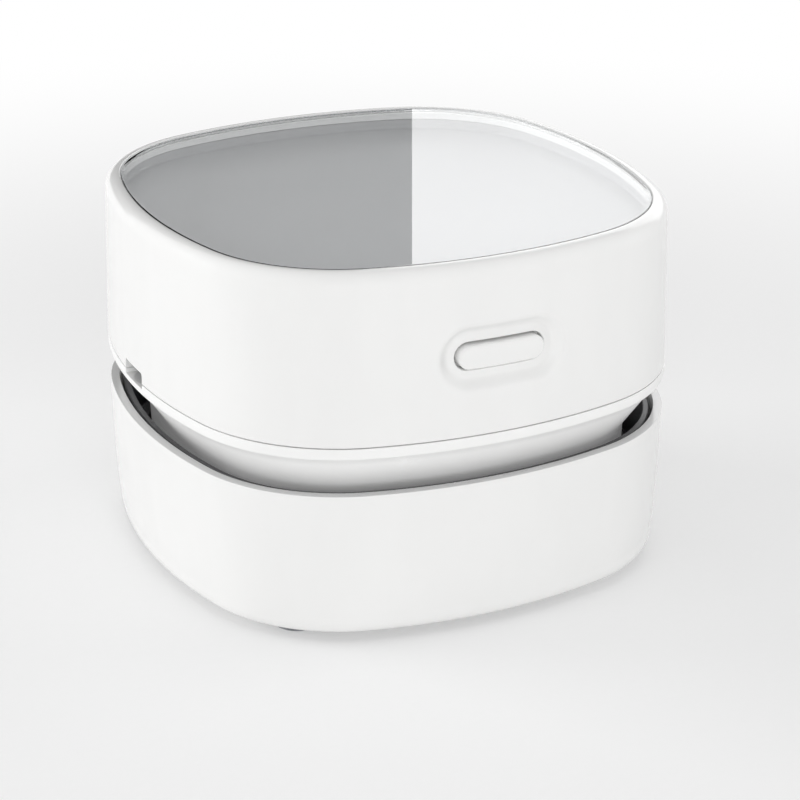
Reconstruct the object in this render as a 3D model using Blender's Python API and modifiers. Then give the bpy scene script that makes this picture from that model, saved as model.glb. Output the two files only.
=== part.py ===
# Desktop mini vacuum cleaner: an upper unit with motor, fan and battery, which lifts off a dust housing.
# Metres, +Z up. The origin lies on the desk under the middle, the button faces -Y, the charging port -X.

import math

import bmesh
import bpy
from mathutils import Matrix, Vector

# Outline of the body: a square with bowed sides and round corners
HALF_WIDTH = 0.0425
SIDE_RADIUS = 0.0816
CORNER_RADIUS = 0.0266
SEAM_CENTRE = (math.sqrt(2 * (SIDE_RADIUS - CORNER_RADIUS) ** 2 - (SIDE_RADIUS - HALF_WIDTH) ** 2)
               - (SIDE_RADIUS - HALF_WIDTH)) / 2
SEAM_ANGLE = math.atan2(SEAM_CENTRE, SEAM_CENTRE + SIDE_RADIUS - HALF_WIDTH)
SIDE_STEPS = 6
CORNER_STEPS = 6
SHARP_ANGLE = math.radians(32)
INNER_STEPS = 4               # of a side and of a corner, on pieces that lie inside
ROUND_STEPS = 32
SMALL_ROUND_STEPS = 16
TINY_ROUND_STEPS = 8
END_STEPS = 4
BOW_STEPS = 3

# Clearances
GAP = 0.0003                  # between pieces that lie on or beside each other
SINK = 0.0004                 # how far a joined feature reaches into what carries it
OVERRUN = 0.002               # how far a cutter runs past what it cuts

# Heights, from the desk up
PAD_STANDOFF = 0.0016
LOWER_HEIGHT = 0.0237
AIR_SLOT = 0.0057
FLANGE_THICKNESS = 0.0019
UPPER_HEIGHT = 0.0272
UNDERSIDE = PAD_STANDOFF
LOWER_RIM = UNDERSIDE + LOWER_HEIGHT
FLANGE_BOTTOM = LOWER_RIM + AIR_SLOT
FLANGE_TOP = FLANGE_BOTTOM + FLANGE_THICKNESS
UPPER_BOTTOM = FLANGE_TOP + GAP
CREST = UPPER_BOTTOM + UPPER_HEIGHT

# Lower housing
LOWER_FLARE = 0.0003          # how far its rim stands outside the outline
LOWER_TAPER = 0.00105         # how much narrower it is above the foot rounding
LOWER_WALL = 0.0014
LOWER_FLOOR = 0.002
FOOT_ROUND_WIDTH = 0.00125
FOOT_ROUND_HEIGHT = 0.0024
RIM_ROUND = 0.00015
FLOOR_ROUND = 0.0008
LEDGE_HEIGHT = 0.0111         # above the underside
LEDGE_WIDTH = 0.0014
# Height between foot rounding and rim, with how much of the taper is left there
LOWER_BULGE_SHARES = ((0, 1), (0.2, 0.62), (0.45, 0.34), (0.72, 0.14), (1, 0))
FOOT_ROUND_SHARES = ((1, 0), (0.45, 0.1), (0.1, 0.45), (0, 1))
FLOOR_TOP = UNDERSIDE + LOWER_FLOOR
LEDGE_TOP = UNDERSIDE + LEDGE_HEIGHT

# Suction mouth in the floor of the lower housing
MOUTH_INSET = 0.0191          # of its edge from the outline
MOUTH_HALF = HALF_WIDTH - MOUTH_INSET
MOUTH_DEPTH = 0.0033
MOUTH_ROOF = 0.0016
CHIMNEY_CLEARANCE = 0.0124    # from its bore to the edge of the mouth
CHIMNEY_RADIUS = MOUTH_HALF - CHIMNEY_CLEARANCE
CHIMNEY_WALL = 0.0014
CHIMNEY_COLLAR = 0.0013       # how far it stands above the roof of the mouth
MOUTH_TOP = UNDERSIDE + MOUTH_DEPTH
PLATEAU_TOP = MOUTH_TOP + MOUTH_ROOF
CHIMNEY_TOP = PLATEAU_TOP + CHIMNEY_COLLAR

# Brush strips
BRUSH_END_CLEARANCE = 0.0084  # from a strip's end to the edge of the mouth
BRUSH_LENGTH = 2 * (MOUTH_HALF - BRUSH_END_CLEARANCE)
BRUSH_WIDTH = 0.0034
BRUSH_BACKING = 0.0015
BRUSH_TIP = 0.0003            # height of the tips above the desk
STRAND_SIDES = 3
STRAND_ROWS = 3
STRANDS_IN_ROW = 25
STRAND_SHARE = 0.2667         # of the space from one strand to the next
STRAND_RADIUS = BRUSH_LENGTH / STRANDS_IN_ROW * STRAND_SHARE
STRAND_SPLAY = 0.00025        # how far the tips of the outer rows lean out

# Glide pads
PAD_RADIUS = 0.004
PAD_RECESS = 0.0006
PAD_CORNER_OFFSET = 0.01343     # from the middle of the outline's corner arc
PAD_OFFSET = SEAM_CENTRE + PAD_CORNER_OFFSET
PAD_ROUND = 0.0004

# Filter
FRAME_THICKNESS = 0.002
FRAME_WALL = 0.001            # the tall wall round its edge
FRAME_WALL_DROP = 0.0006      # of that wall's top below the rim
COLLAR_WALL = 0.0012
COLLAR_HEIGHT = 0.002
SEAL_WIDTH = 0.0011
SEAL_HEIGHT = 0.0008
SEAL_GROOVE = 0.001
FILTER_OPENING_INSET = 0.012
BASKET_WALL = 0.0012
BASKET_DEPTH = 0.0016
GRID_BAR = 0.001
GRID_COUNT = 3
GRID_INSET = 0.0125
GRID_PITCH = (HALF_WIDTH - GRID_INSET) * 2 / (GRID_COUNT + 1)

# Chassis: flange, neck and deck
FLANGE_PROUD = 0.0005         # how far the flange stands outside the outline
FLANGE_EDGE_HEIGHT = 0.0007
FLANGE_EDGE_WIDTH = 0.0009
NECK_INSET = 0.006
NECK_WALL = 0.0016
NECK_DRAFT = 0.0002
NECK_UPRIGHT = 0.0041         # height of its upright foot, above which it leans out to the flange
# The start of the leaning part: how far out, and how far up
NECK_LEAN_SHARES = ((0, 0), (0.02, 0.115), (0.085, 0.225), (0.17, 0.315))
DECK_HEIGHT = 0.0098          # top of the deck above the fan plate
DECK_THICKNESS = 0.0018
LOCATING_RIB = 0.001
LOCATING_RIB_HEIGHT = 0.002
VENT_COUNT = 5
VENT_SPAN_INSET = 0.023       # of the row's ends from the outline
VENT_BAR = 0.0024             # between two vents
VENT_PITCH = (HALF_WIDTH - VENT_SPAN_INSET) * 2 / VENT_COUNT
VENT_WIDTH = VENT_PITCH - VENT_BAR
VENT_HEIGHT = 0.0065
VENT_RISE = 0.0004            # above the neck's lower edge

# Fan plate
PLATE_THICKNESS = 0.0016
PLATE_PAD = 0.001
PLATE_PAD_RADIUS = 0.0032
EYE_RADIUS = 0.0115
EYE_BAR = 0.0014
EYE_HUB_RADIUS = 0.0045

# Case screws and the columns and posts that they pass
SCREW_CORNER_OFFSET = 0.01073   # from the middle of the outline's corner arc
SCREW_OFFSET = SEAM_CENTRE + SCREW_CORNER_OFFSET
COLUMN_RADIUS = 0.003
SCREW_RADIUS = 0.0011
SCREW_HEAD_RADIUS = 0.0022
SCREW_HEAD_HEIGHT = 0.0011
SCREW_SINK = 0.0015           # depth of the pocket for the head
SCREW_LENGTH = 0.025
SCREW_SLOT_DEPTH = 0.0004
SCREW_SLOT_WIDTH = 0.0005
POST_RIB = 0.0012
POST_RIB_BOTTOM = 0.0028      # above the upper housing's lower edge

# Upper housing
UPPER_WALL = 0.0013
SHOULDER_HEIGHT = 0.0028
SHOULDER_WIDTH = 0.00235
SHOULDER_SHARES = ((0, 0), (0.06, 0.46), (0.32, 0.79), (0.72, 0.96), (1, 1))
LIP_ROUND = 0.0001
WINDOW_LEDGE = 0.0005
WINDOW_LEDGE_THICKNESS = 0.0011

# Window and tray
WINDOW_THICKNESS = 0.00175
WINDOW_SINK = 0.00015         # below the crest
WINDOW_SIDE_GAP = 0.00015
WINDOW_EDGE = 0.00015
TRAY_WALL = 0.0007
TRAY_DEPTH = 0.0016
TRAY_FLOOR = 0.0012
TRAY_ROUND = 0.0005

# Button, its dish and the boss behind it
BUTTON_HEIGHT = 0.0124        # of its middle above the upper housing's lower edge
BUTTON_LENGTH = 0.0144
BUTTON_WIDTH = 0.0038
BUTTON_TRAVEL = 0.001
BUTTON_EDGE = 0.0005
BUTTON_FLANGE = 0.0013
BUTTON_FLANGE_THICKNESS = 0.0012
DISH_LENGTH = 0.0211
DISH_WIDTH = 0.0104
DISH_DEPTH = 0.0012
DISH_BLEND = 0.0017
DISH_FLOOR = 0.0016
DISH_SHARES = ((-0.25, -0.1), (0.1, 0.15), (0.45, 0.6), (0.8, 0.92), (1, 1))
BOSS_MARGIN = 0.0012

# Charging port
PORT_OFFSET = 0.0015          # along +Y from the middle of the left side
PORT_WIDTH = 0.0078
PORT_HEIGHT = 0.0018          # of the notch in the upper housing
PORT_SINK = 0.0005            # of the flange under it
SOCKET_WIDTH = 0.0072
SOCKET_HEIGHT = 0.0024
SOCKET_LENGTH = 0.0055
SOCKET_WALL = 0.0004
SOCKET_SETBACK = 0.0021       # behind the outline
TONGUE_WIDTH = 0.0042
TONGUE_THICKNESS = 0.0006
CHARGE_BOARD_LENGTH = 0.0145
CHARGE_BOARD_WIDTH = 0.0206
BOARD_THICKNESS = 0.001
BOARD_POST_RADIUS = 0.002
BOARD_POST_SPREAD = 0.0075
BOARD_POST_SETBACK = 0.0028   # from the board's inner edge
BOARD_SCREW_RADIUS = 0.0007
BOARD_SCREW_HEAD_RADIUS = 0.0014
BOARD_SCREW_HEAD_HEIGHT = 0.0008
BOARD_SCREW_LENGTH = 0.004

# Switch and its board
PLUNGER_RADIUS = 0.0017
PLUNGER_LENGTH = 0.0034
SWITCH_WIDTH = 0.006
SWITCH_DEPTH = 0.0035
SWITCH_HOLE_SLACK = 0.0003
SWITCH_BOARD_WIDTH = 0.026
SWITCH_BOARD_HEIGHT = 0.014
SLOT_POST = 0.003
SLOT_POST_DEPTH = 0.0048
SLOT_DEPTH = 0.001

# Motor
MOTOR_RADIUS = 0.0122
MOTOR_LENGTH = 0.0215
MOTOR_WALL = 0.0008
MOTOR_BASE = 0.001
MOTOR_BOSS_HOLE = 0.0035
SHAFT_RADIUS = 0.001
SHAFT_REACH = 0.0019          # of the shaft's end into the end cap's bearing
MAGNET_THICKNESS = 0.0021
MAGNET_HEIGHT = 0.014
MAGNET_HALF_ANGLE = math.radians(62)
MAGNET_STEPS = 8
ARMATURE_CLEARANCE = 0.0009   # inside the magnets, with what holds them
ARMATURE_RADIUS = MOTOR_RADIUS - MOTOR_WALL - MAGNET_THICKNESS - ARMATURE_CLEARANCE
ARMATURE_CORE_RADIUS = ARMATURE_RADIUS / 2
ARMATURE_HEIGHT = 0.0125
ARMATURE_POLES = 5
ARMATURE_POLE_SHARE = 0.72
ARMATURE_FACE_SHARES = (-0.5, -0.17, 0.17, 0.5)
ARMATURE_RISE = 0.0034        # above the motor's base
COMMUTATOR_RADIUS = 0.0031
COMMUTATOR_HEIGHT = 0.0026
END_CAP_THICKNESS = 0.0015
END_CAP_SPIGOT = 0.0015
BEARING_DEPTH = 0.0022
TERMINAL_SETBACK = 0.0062     # from the edge of the end cap
TERMINAL_OFFSET = MOTOR_RADIUS - TERMINAL_SETBACK
TERMINAL_WIDTH = 0.0024
TERMINAL_THICKNESS = 0.0005
TERMINAL_HEIGHT = 0.0025
DAMPER_THICKNESS = 0.0017
DAMPER_HEIGHT = 0.0059
CUP_WALL = 0.0012
CUP_HEIGHT = 0.0062
MOTOR_SCREW_SETBACK = 0.0042  # from the edge of the motor
MOTOR_SCREW_OFFSET = MOTOR_RADIUS - MOTOR_SCREW_SETBACK
MOTOR_SCREW_RADIUS = 0.0009
MOTOR_SCREW_HEAD_RADIUS = 0.0018
MOTOR_SCREW_HEAD_HEIGHT = 0.0009
MOTOR_SCREW_GRIP = 0.0011     # of the screw's end inside the motor

# Impeller
IMPELLER_INSET = 0.0185
IMPELLER_RADIUS = HALF_WIDTH - IMPELLER_INSET
IMPELLER_DISC = 0.0012
IMPELLER_HEIGHT = 0.0042      # of the blades
IMPELLER_TOP_DROP = 0.0019    # under the deck
HUB_RADIUS = 0.004
BLADE_COUNT = 9
BLADE_INNER_RADIUS = 0.009
BLADE_THICKNESS = 0.0011
BLADE_SWEEP = math.radians(34)
BLADE_STEPS = 4

# Battery
BATTERY_END_CLEARANCE = 0.0058  # from its ends to the middle of a case screw
BATTERY_LENGTH = 2 * (SCREW_OFFSET - BATTERY_END_CLEARANCE)
BATTERY_DEPTH = 0.008
BATTERY_HEIGHT = 0.02
BATTERY_ROUND = 0.0015
BATTERY_OFFSET = 0.024
FENCE_WALL = 0.0012
FENCE_HEIGHT = 0.005

# Wires
WIRE_RADIUS = 0.0006
WIRE_CLEARANCE = 0.0008       # between a wire and what it passes
LEAD_PITCH = 0.0022           # of the battery's two leads
LEAD_LANDING = 0.0038         # of the first one behind the board's outer edge
WELD = 0.00001                # between points that are one


MATERIALS = {
    # name: colour, roughness, metallic, alpha
    "white_gloss": ((0.86, 0.86, 0.85), 0.18, 0.0, 1.0),
    "white_satin": ((0.8, 0.8, 0.79), 0.35, 0.0, 1.0),
    "dark_plastic": ((0.045, 0.045, 0.05), 0.45, 0.0, 1.0),
    "tray_grey": ((0.5, 0.51, 0.52), 0.3, 0.0, 1.0),
    "clear_window": ((0.93, 0.95, 0.96), 0.04, 0.0, 0.35),
    "filter_felt": ((0.72, 0.73, 0.72), 0.9, 0.0, 1.0),
    "seal_rubber": ((0.16, 0.16, 0.17), 0.7, 0.0, 1.0),
    "bristle": ((0.12, 0.12, 0.13), 0.6, 0.0, 1.0),
    "pad_felt": ((0.3, 0.31, 0.33), 0.85, 0.0, 1.0),
    "steel": ((0.62, 0.62, 0.64), 0.32, 1.0, 1.0),
    "magnet": ((0.2, 0.2, 0.21), 0.5, 0.4, 1.0),
    "copper": ((0.72, 0.38, 0.2), 0.35, 1.0, 1.0),
    "black_plastic": ((0.05, 0.05, 0.055), 0.4, 0.0, 1.0),
    "board_green": ((0.05, 0.22, 0.11), 0.4, 0.0, 1.0),
    "battery_wrap": ((0.12, 0.3, 0.56), 0.35, 0.0, 1.0),
    "impeller_grey": ((0.55, 0.57, 0.58), 0.35, 0.0, 1.0),
    "red_wire": ((0.6, 0.05, 0.04), 0.4, 0.0, 1.0),
}


def material(name):
    if name in bpy.data.materials:
        return bpy.data.materials[name]
    colour, roughness, metallic, alpha = MATERIALS[name]
    made = bpy.data.materials.new(name)
    made.use_nodes = True
    shader = made.node_tree.nodes["Principled BSDF"]
    shader.inputs["Base Color"].default_value = (*colour, 1)
    shader.inputs["Roughness"].default_value = roughness
    shader.inputs["Metallic"].default_value = metallic
    shader.inputs["Alpha"].default_value = alpha
    made.diffuse_color = (*colour, alpha)
    return made


def clear_scene():
    for old in list(bpy.data.objects):
        bpy.data.objects.remove(old, do_unlink=True)
    for name in ("desktop_mini_vacuum", "cutters"):
        made = bpy.data.collections.get(name) or bpy.data.collections.new(name)
        if name not in bpy.context.scene.collection.children:
            bpy.context.scene.collection.children.link(made)


def finished(name, bm, material_name=None, centre=(0, 0, 0)):
    """Turns a bmesh into an object, as a piece if it has a material and as a cutter if not"""
    bmesh.ops.recalc_face_normals(bm, faces=bm.faces)
    bmesh.ops.translate(bm, verts=bm.verts, vec=-Vector(centre))
    mesh = bpy.data.meshes.new(name)
    bm.to_mesh(mesh)
    bm.free()
    made = bpy.data.objects.new(name, mesh)
    made.location = centre
    place(made, material_name)
    return made


def place(made, material_name, smooth=True):
    if material_name:
        bpy.data.collections["desktop_mini_vacuum"].objects.link(made)
        made.data.materials.append(material(material_name))
        if smooth:
            made.data.shade_smooth()
            made.data.set_sharp_from_angle(angle=SHARP_ANGLE)
    else:
        bpy.data.collections["cutters"].objects.link(made)
        made.hide_render = True
        made.display_type = "WIRE"


def boolean(target, tool, operation):
    step = target.modifiers.new(tool.name, "BOOLEAN")
    step.operation = operation
    step.solver = "EXACT"
    step.object = tool


def join(target, *tools):
    for tool in tools:
        boolean(target, tool, "UNION")


def cut(target, *tools):
    for tool in tools:
        boolean(target, tool, "DIFFERENCE")


def skin(name, loops, material_name=None, ring=False, bowed=False, centre=(0, 0, 0)):
    """A body through loops of points. A ring joins the last loop to the first, anything else is capped.
    A bowed cap is made of strips, because one face over its bent outline wouldn't be flat"""
    bm = bmesh.new()
    rows = [[bm.verts.new(point) for point in loop] for loop in loops]
    for near, far in zip(rows, rows[1:] + rows[:1] if ring else rows[1:]):
        for i in range(len(near)):
            bm.faces.new((near[i - 1], near[i], far[i], far[i - 1]))
    for row in () if ring else (rows[0], rows[-1]):
        if not bowed:
            bm.faces.new(row)
            continue
        last = len(row) // 2
        bm.faces.new((row[0], row[1], row[-1]))
        for i in range(1, last - 1):
            bm.faces.new((row[i], row[i + 1], row[-i - 1], row[-i]))
        bm.faces.new((row[last - 1], row[last], row[last + 1]))
    return finished(name, bm, material_name, centre)


def outline(inset, z, side_steps=SIDE_STEPS, corner_steps=CORNER_STEPS):
    """The body's outline at height z, drawn in by inset"""
    points = []
    for quarter in range(4):
        turn = Matrix.Rotation(quarter * math.pi / 2, 3, "Z")
        for i in range(side_steps):
            angle = SEAM_ANGLE * (2 * i / side_steps - 1)
            points.append(turn @ Vector((HALF_WIDTH - SIDE_RADIUS + (SIDE_RADIUS - inset) * math.cos(angle),
                                         (SIDE_RADIUS - inset) * math.sin(angle), z)))
        for i in range(corner_steps):
            angle = SEAM_ANGLE + (math.pi / 2 - 2 * SEAM_ANGLE) * i / corner_steps
            points.append(turn @ Vector((SEAM_CENTRE + (CORNER_RADIUS - inset) * math.cos(angle),
                                         SEAM_CENTRE + (CORNER_RADIUS - inset) * math.sin(angle), z)))
    return points


def inner_outline(inset, z):
    return outline(inset, z, INNER_STEPS, INNER_STEPS)


def front_wall(x, inset):
    """Where the bowed front face lies at x, drawn in by inset"""
    return SIDE_RADIUS - HALF_WIDTH - math.sqrt((SIDE_RADIUS - inset) ** 2 - x * x)


def stadium(length, width, inset, depth):
    """An oblong with round ends on the front face at the button's height, bent along the face.
    It starts at its right end, so that points of equal place above and below can be paired"""
    radius = width / 2 - inset
    half = (length - width) / 2
    quarter = [(half + radius * math.cos(angle), radius * math.sin(angle))
               for angle in (math.pi / 2 * i / END_STEPS for i in range(END_STEPS + 1))]
    straight = [(half * (1 - 2 * i / BOW_STEPS), radius) for i in range(1, BOW_STEPS)]
    upper = quarter + straight + [(-x, up) for x, up in quarter[::-1]]
    flat = upper + [(x, -up) for x, up in upper[-2:0:-1]]
    return [Vector((x, front_wall(x, depth), BUTTON_MIDDLE + up)) for x, up in flat]


def box(name, low, high, material_name=None, round_edge=0, turn=0):
    """A box between two corners, turned about Z through the origin if asked"""
    low, high = Vector(low), Vector(high)
    bm = bmesh.new()
    bmesh.ops.create_cube(bm, size=1)
    bmesh.ops.scale(bm, verts=bm.verts, vec=high - low)
    bmesh.ops.translate(bm, verts=bm.verts, vec=(low + high) / 2)
    bmesh.ops.rotate(bm, verts=bm.verts, matrix=Matrix.Rotation(turn, 3, "Z"))
    made = finished(name, bm, material_name)
    if round_edge:
        bevel = made.modifiers.new("round_edges", "BEVEL")
        bevel.width = round_edge
        bevel.segments = 2
    return made


def cylinders(name, radius, ends, steps=ROUND_STEPS, material_name=None):
    """One object of one or more cylinders, each given by the middles of its two ends"""
    bm = bmesh.new()
    for low, high in ends:
        low, high = Vector(low), Vector(high)
        turn = Vector((0, 0, 1)).rotation_difference(high - low).to_matrix().to_4x4()
        bmesh.ops.create_cone(bm, cap_ends=True, segments=steps, radius1=radius, radius2=radius,
                              depth=(high - low).length, matrix=Matrix.Translation((low + high) / 2) @ turn)
    return finished(name, bm, material_name)


def boxes(name, ends, material_name=None):
    """One object of several separate boxes, each given by its low and high corner"""
    bm = bmesh.new()
    for low, high in ends:
        low, high = Vector(low), Vector(high)
        made = bmesh.ops.create_cube(bm, size=1)["verts"]
        bmesh.ops.scale(bm, verts=made, vec=high - low)
        bmesh.ops.translate(bm, verts=made, vec=(low + high) / 2)
    return finished(name, bm, material_name)


def turned(name, profile, material_name=None, steps=ROUND_STEPS, ring=True, centre=(0, 0)):
    """A profile of (radius, height) points turned about Z, top to bottom on its outer side"""
    mesh = bpy.data.meshes.new(name)
    last = len(profile) if ring else len(profile) - 1
    edges = [(i, (i + 1) % len(profile)) for i in range(last)]
    mesh.from_pydata([(radius, 0, z) for radius, z in profile], edges, [])
    made = bpy.data.objects.new(name, mesh)
    made.location = (*centre, 0)
    place(made, material_name, smooth=False)
    screw = made.modifiers.new("turn", "SCREW")
    screw.steps = screw.render_steps = steps
    screw.use_merge_vertices = True
    screw.merge_threshold = WELD
    screw.use_smooth_shade = True
    return made


def corners(offset):
    """The four places at one distance from both axes"""
    return [(x * offset, y * offset) for x, y in ((1, 1), (-1, 1), (-1, -1), (1, -1))]


def board_post_places():
    """The two screws of the charge board"""
    return [(BOARD_POST_X, PORT_OFFSET + side * BOARD_POST_SPREAD) for side in (-1, 1)]


def lower_inset(z):
    """Inset of the lower housing's outer wall at height z"""
    low = UNDERSIDE + FOOT_ROUND_HEIGHT
    share = (z - low) / (LOWER_RIM - RIM_ROUND - low)
    for (start, wide), (end, narrow) in zip(LOWER_BULGE_SHARES, LOWER_BULGE_SHARES[1:]):
        if share <= end:
            break
    left = wide + (narrow - wide) * (share - start) / (end - start)
    return LOWER_TAPER * left - LOWER_FLARE


def upper_inset(z):
    """Inset of the upper housing's outer wall at height z, which leans in evenly up to the shoulder"""
    return -FLANGE_PROUD * (SHOULDER_BOTTOM - z) / (SHOULDER_BOTTOM - UPPER_BOTTOM)


# Places that follow from the sizes
LEDGE_INSET = lower_inset(LEDGE_TOP) + LOWER_WALL
FRAME_BOTTOM = LEDGE_TOP + GAP
FRAME_TOP = FRAME_BOTTOM + FRAME_THICKNESS
PLATE_BOTTOM = FRAME_TOP + GAP
PLATE_TOP = PLATE_BOTTOM + PLATE_THICKNESS
NECK_BOTTOM = PLATE_TOP + GAP
NECK_FOOT_INSET = NECK_INSET + NECK_DRAFT
NECK_INNER_INSET = NECK_INSET + NECK_WALL
DECK_TOP = PLATE_TOP + DECK_HEIGHT
DECK_BOTTOM = DECK_TOP - DECK_THICKNESS
COLUMN_BOTTOM = PLATE_TOP + PLATE_PAD + GAP
SCREW_HEAD_TOP = PLATE_BOTTOM + SCREW_SINK - GAP
SCREW_TOP = SCREW_HEAD_TOP + SCREW_LENGTH
SHOULDER_BOTTOM = CREST - SHOULDER_HEIGHT
LIP_INSET = SHOULDER_WIDTH + LIP_ROUND
WINDOW_TOP = CREST - WINDOW_SINK
WINDOW_BOTTOM = WINDOW_TOP - WINDOW_THICKNESS
WINDOW_LEDGE_TOP = WINDOW_BOTTOM - GAP
WINDOW_LEDGE_BOTTOM = WINDOW_LEDGE_TOP - WINDOW_LEDGE_THICKNESS
TRAY_RIM = WINDOW_LEDGE_BOTTOM - GAP
TRAY_FLOOR_TOP = TRAY_RIM - TRAY_DEPTH
TRAY_BOTTOM = TRAY_FLOOR_TOP - TRAY_FLOOR
POST_BOTTOM = DECK_TOP + GAP
POST_TOP = TRAY_BOTTOM - GAP
BUTTON_MIDDLE = UPPER_BOTTOM + BUTTON_HEIGHT
WALL_AT_BUTTON = upper_inset(BUTTON_MIDDLE)
DISH_BOTTOM = WALL_AT_BUTTON + DISH_DEPTH
BOSS_BACK = DISH_BOTTOM + DISH_FLOOR
BUTTON_FLANGE_FRONT = BOSS_BACK + GAP
BUTTON_BACK = BUTTON_FLANGE_FRONT + BUTTON_FLANGE_THICKNESS
PLUNGER_FRONT = front_wall(0, BUTTON_BACK) + GAP
PLUNGER_BACK = PLUNGER_FRONT + PLUNGER_LENGTH
SWITCH_HOLE_END = PLUNGER_BACK + BUTTON_TRAVEL + SWITCH_HOLE_SLACK
SWITCH_BACK = SWITCH_HOLE_END + SWITCH_DEPTH / 4
SWITCH_FRONT = SWITCH_BACK - SWITCH_DEPTH
SWITCH_BOARD_FRONT = SWITCH_BACK + GAP
SWITCH_BOARD_BACK = SWITCH_BOARD_FRONT + BOARD_THICKNESS
SWITCH_BOARD_BOTTOM = BUTTON_MIDDLE - SWITCH_BOARD_HEIGHT / 2
MOTOR_BOTTOM = DECK_TOP + GAP
MOTOR_TOP = MOTOR_BOTTOM + MOTOR_LENGTH
END_CAP_BOTTOM = MOTOR_TOP + GAP
END_CAP_TOP = END_CAP_BOTTOM + END_CAP_THICKNESS
SPIGOT_BOTTOM = END_CAP_BOTTOM - END_CAP_SPIGOT
ARMATURE_BOTTOM = MOTOR_BOTTOM + ARMATURE_RISE
ARMATURE_TOP = ARMATURE_BOTTOM + ARMATURE_HEIGHT
IMPELLER_TOP = DECK_BOTTOM - IMPELLER_TOP_DROP
DISC_BOTTOM = IMPELLER_TOP - IMPELLER_DISC
BLADE_BOTTOM = DISC_BOTTOM - IMPELLER_HEIGHT
SHAFT_BOTTOM = BLADE_BOTTOM + GAP
SHAFT_TOP = SPIGOT_BOTTOM + SHAFT_REACH
SOCKET_FRONT = -HALF_WIDTH + SOCKET_SETBACK
SOCKET_BOTTOM = FLANGE_TOP - PORT_SINK + GAP
SOCKET_TOP = SOCKET_BOTTOM + SOCKET_HEIGHT
CHARGE_BOARD_BOTTOM = SOCKET_TOP + GAP
CHARGE_BOARD_TOP = CHARGE_BOARD_BOTTOM + BOARD_THICKNESS
CHARGE_BOARD_FRONT = SOCKET_FRONT + SOCKET_WALL
CHARGE_BOARD_BACK = CHARGE_BOARD_FRONT + CHARGE_BOARD_LENGTH
BOARD_POST_X = CHARGE_BOARD_BACK - BOARD_POST_SETBACK
BATTERY_BOTTOM = DECK_TOP + GAP
BATTERY_TOP = BATTERY_BOTTOM + BATTERY_HEIGHT


def lower_housing():
    """The dust housing: a bowl with a ledge for the filter and a suction mouth in its raised floor"""
    foot = UNDERSIDE + FOOT_ROUND_HEIGHT
    foot_inset = LOWER_TAPER - LOWER_FLARE
    rise = LOWER_RIM - RIM_ROUND - foot
    profile = [(foot_inset + FOOT_ROUND_WIDTH * across, UNDERSIDE + FOOT_ROUND_HEIGHT * up)
               for across, up in FOOT_ROUND_SHARES[:-1]]
    profile += [(LOWER_TAPER * left - LOWER_FLARE, foot + rise * up) for up, left in LOWER_BULGE_SHARES]
    profile += [(RIM_ROUND - LOWER_FLARE, LOWER_RIM),
                (LOWER_WALL - LOWER_FLARE, LOWER_RIM),
                (LEDGE_INSET, LEDGE_TOP),
                (LEDGE_INSET + LEDGE_WIDTH, LEDGE_TOP),
                (LEDGE_INSET + LEDGE_WIDTH, FLOOR_TOP + FLOOR_ROUND),
                (LEDGE_INSET + LEDGE_WIDTH + FLOOR_ROUND, FLOOR_TOP)]
    housing = skin("lower_housing", [outline(inset, z) for inset, z in profile], "white_gloss")
    mouth_inset = HALF_WIDTH - MOUTH_HALF
    plateau = skin("mouth_plateau", [inner_outline(mouth_inset - MOUTH_ROOF, FLOOR_TOP - SINK),
                                     inner_outline(mouth_inset - MOUTH_ROOF, PLATEAU_TOP)])
    collar = cylinders("chimney_outside", CHIMNEY_RADIUS + CHIMNEY_WALL,
                       [((0, 0, MOUTH_TOP + SINK), (0, 0, CHIMNEY_TOP))])
    mouth = skin("mouth_recess", [inner_outline(mouth_inset, UNDERSIDE - OVERRUN),
                                  inner_outline(mouth_inset, MOUTH_TOP)])
    bore = cylinders("chimney_bore", CHIMNEY_RADIUS, [((0, 0, UNDERSIDE), (0, 0, CHIMNEY_TOP + OVERRUN))])
    recesses = cylinders("pad_recesses", PAD_RADIUS + GAP,
                         [((x, y, UNDERSIDE - OVERRUN), (x, y, UNDERSIDE + PAD_RECESS))
                          for x, y in corners(PAD_OFFSET)], SMALL_ROUND_STEPS)
    join(housing, plateau, collar)
    cut(housing, mouth, bore, recesses)


def glide_pads():
    """Round pads glued into shallow recesses at the corners of the underside"""
    top = UNDERSIDE + PAD_RECESS - GAP
    profile = [(0, top), (PAD_RADIUS, top), (PAD_RADIUS, PAD_ROUND), (PAD_RADIUS - PAD_ROUND, 0), (0, 0)]
    for number, place_xy in enumerate(corners(PAD_OFFSET), 1):
        turned(f"glide_pad_{number}", profile, "pad_felt", SMALL_ROUND_STEPS, ring=False, centre=place_xy)


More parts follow.
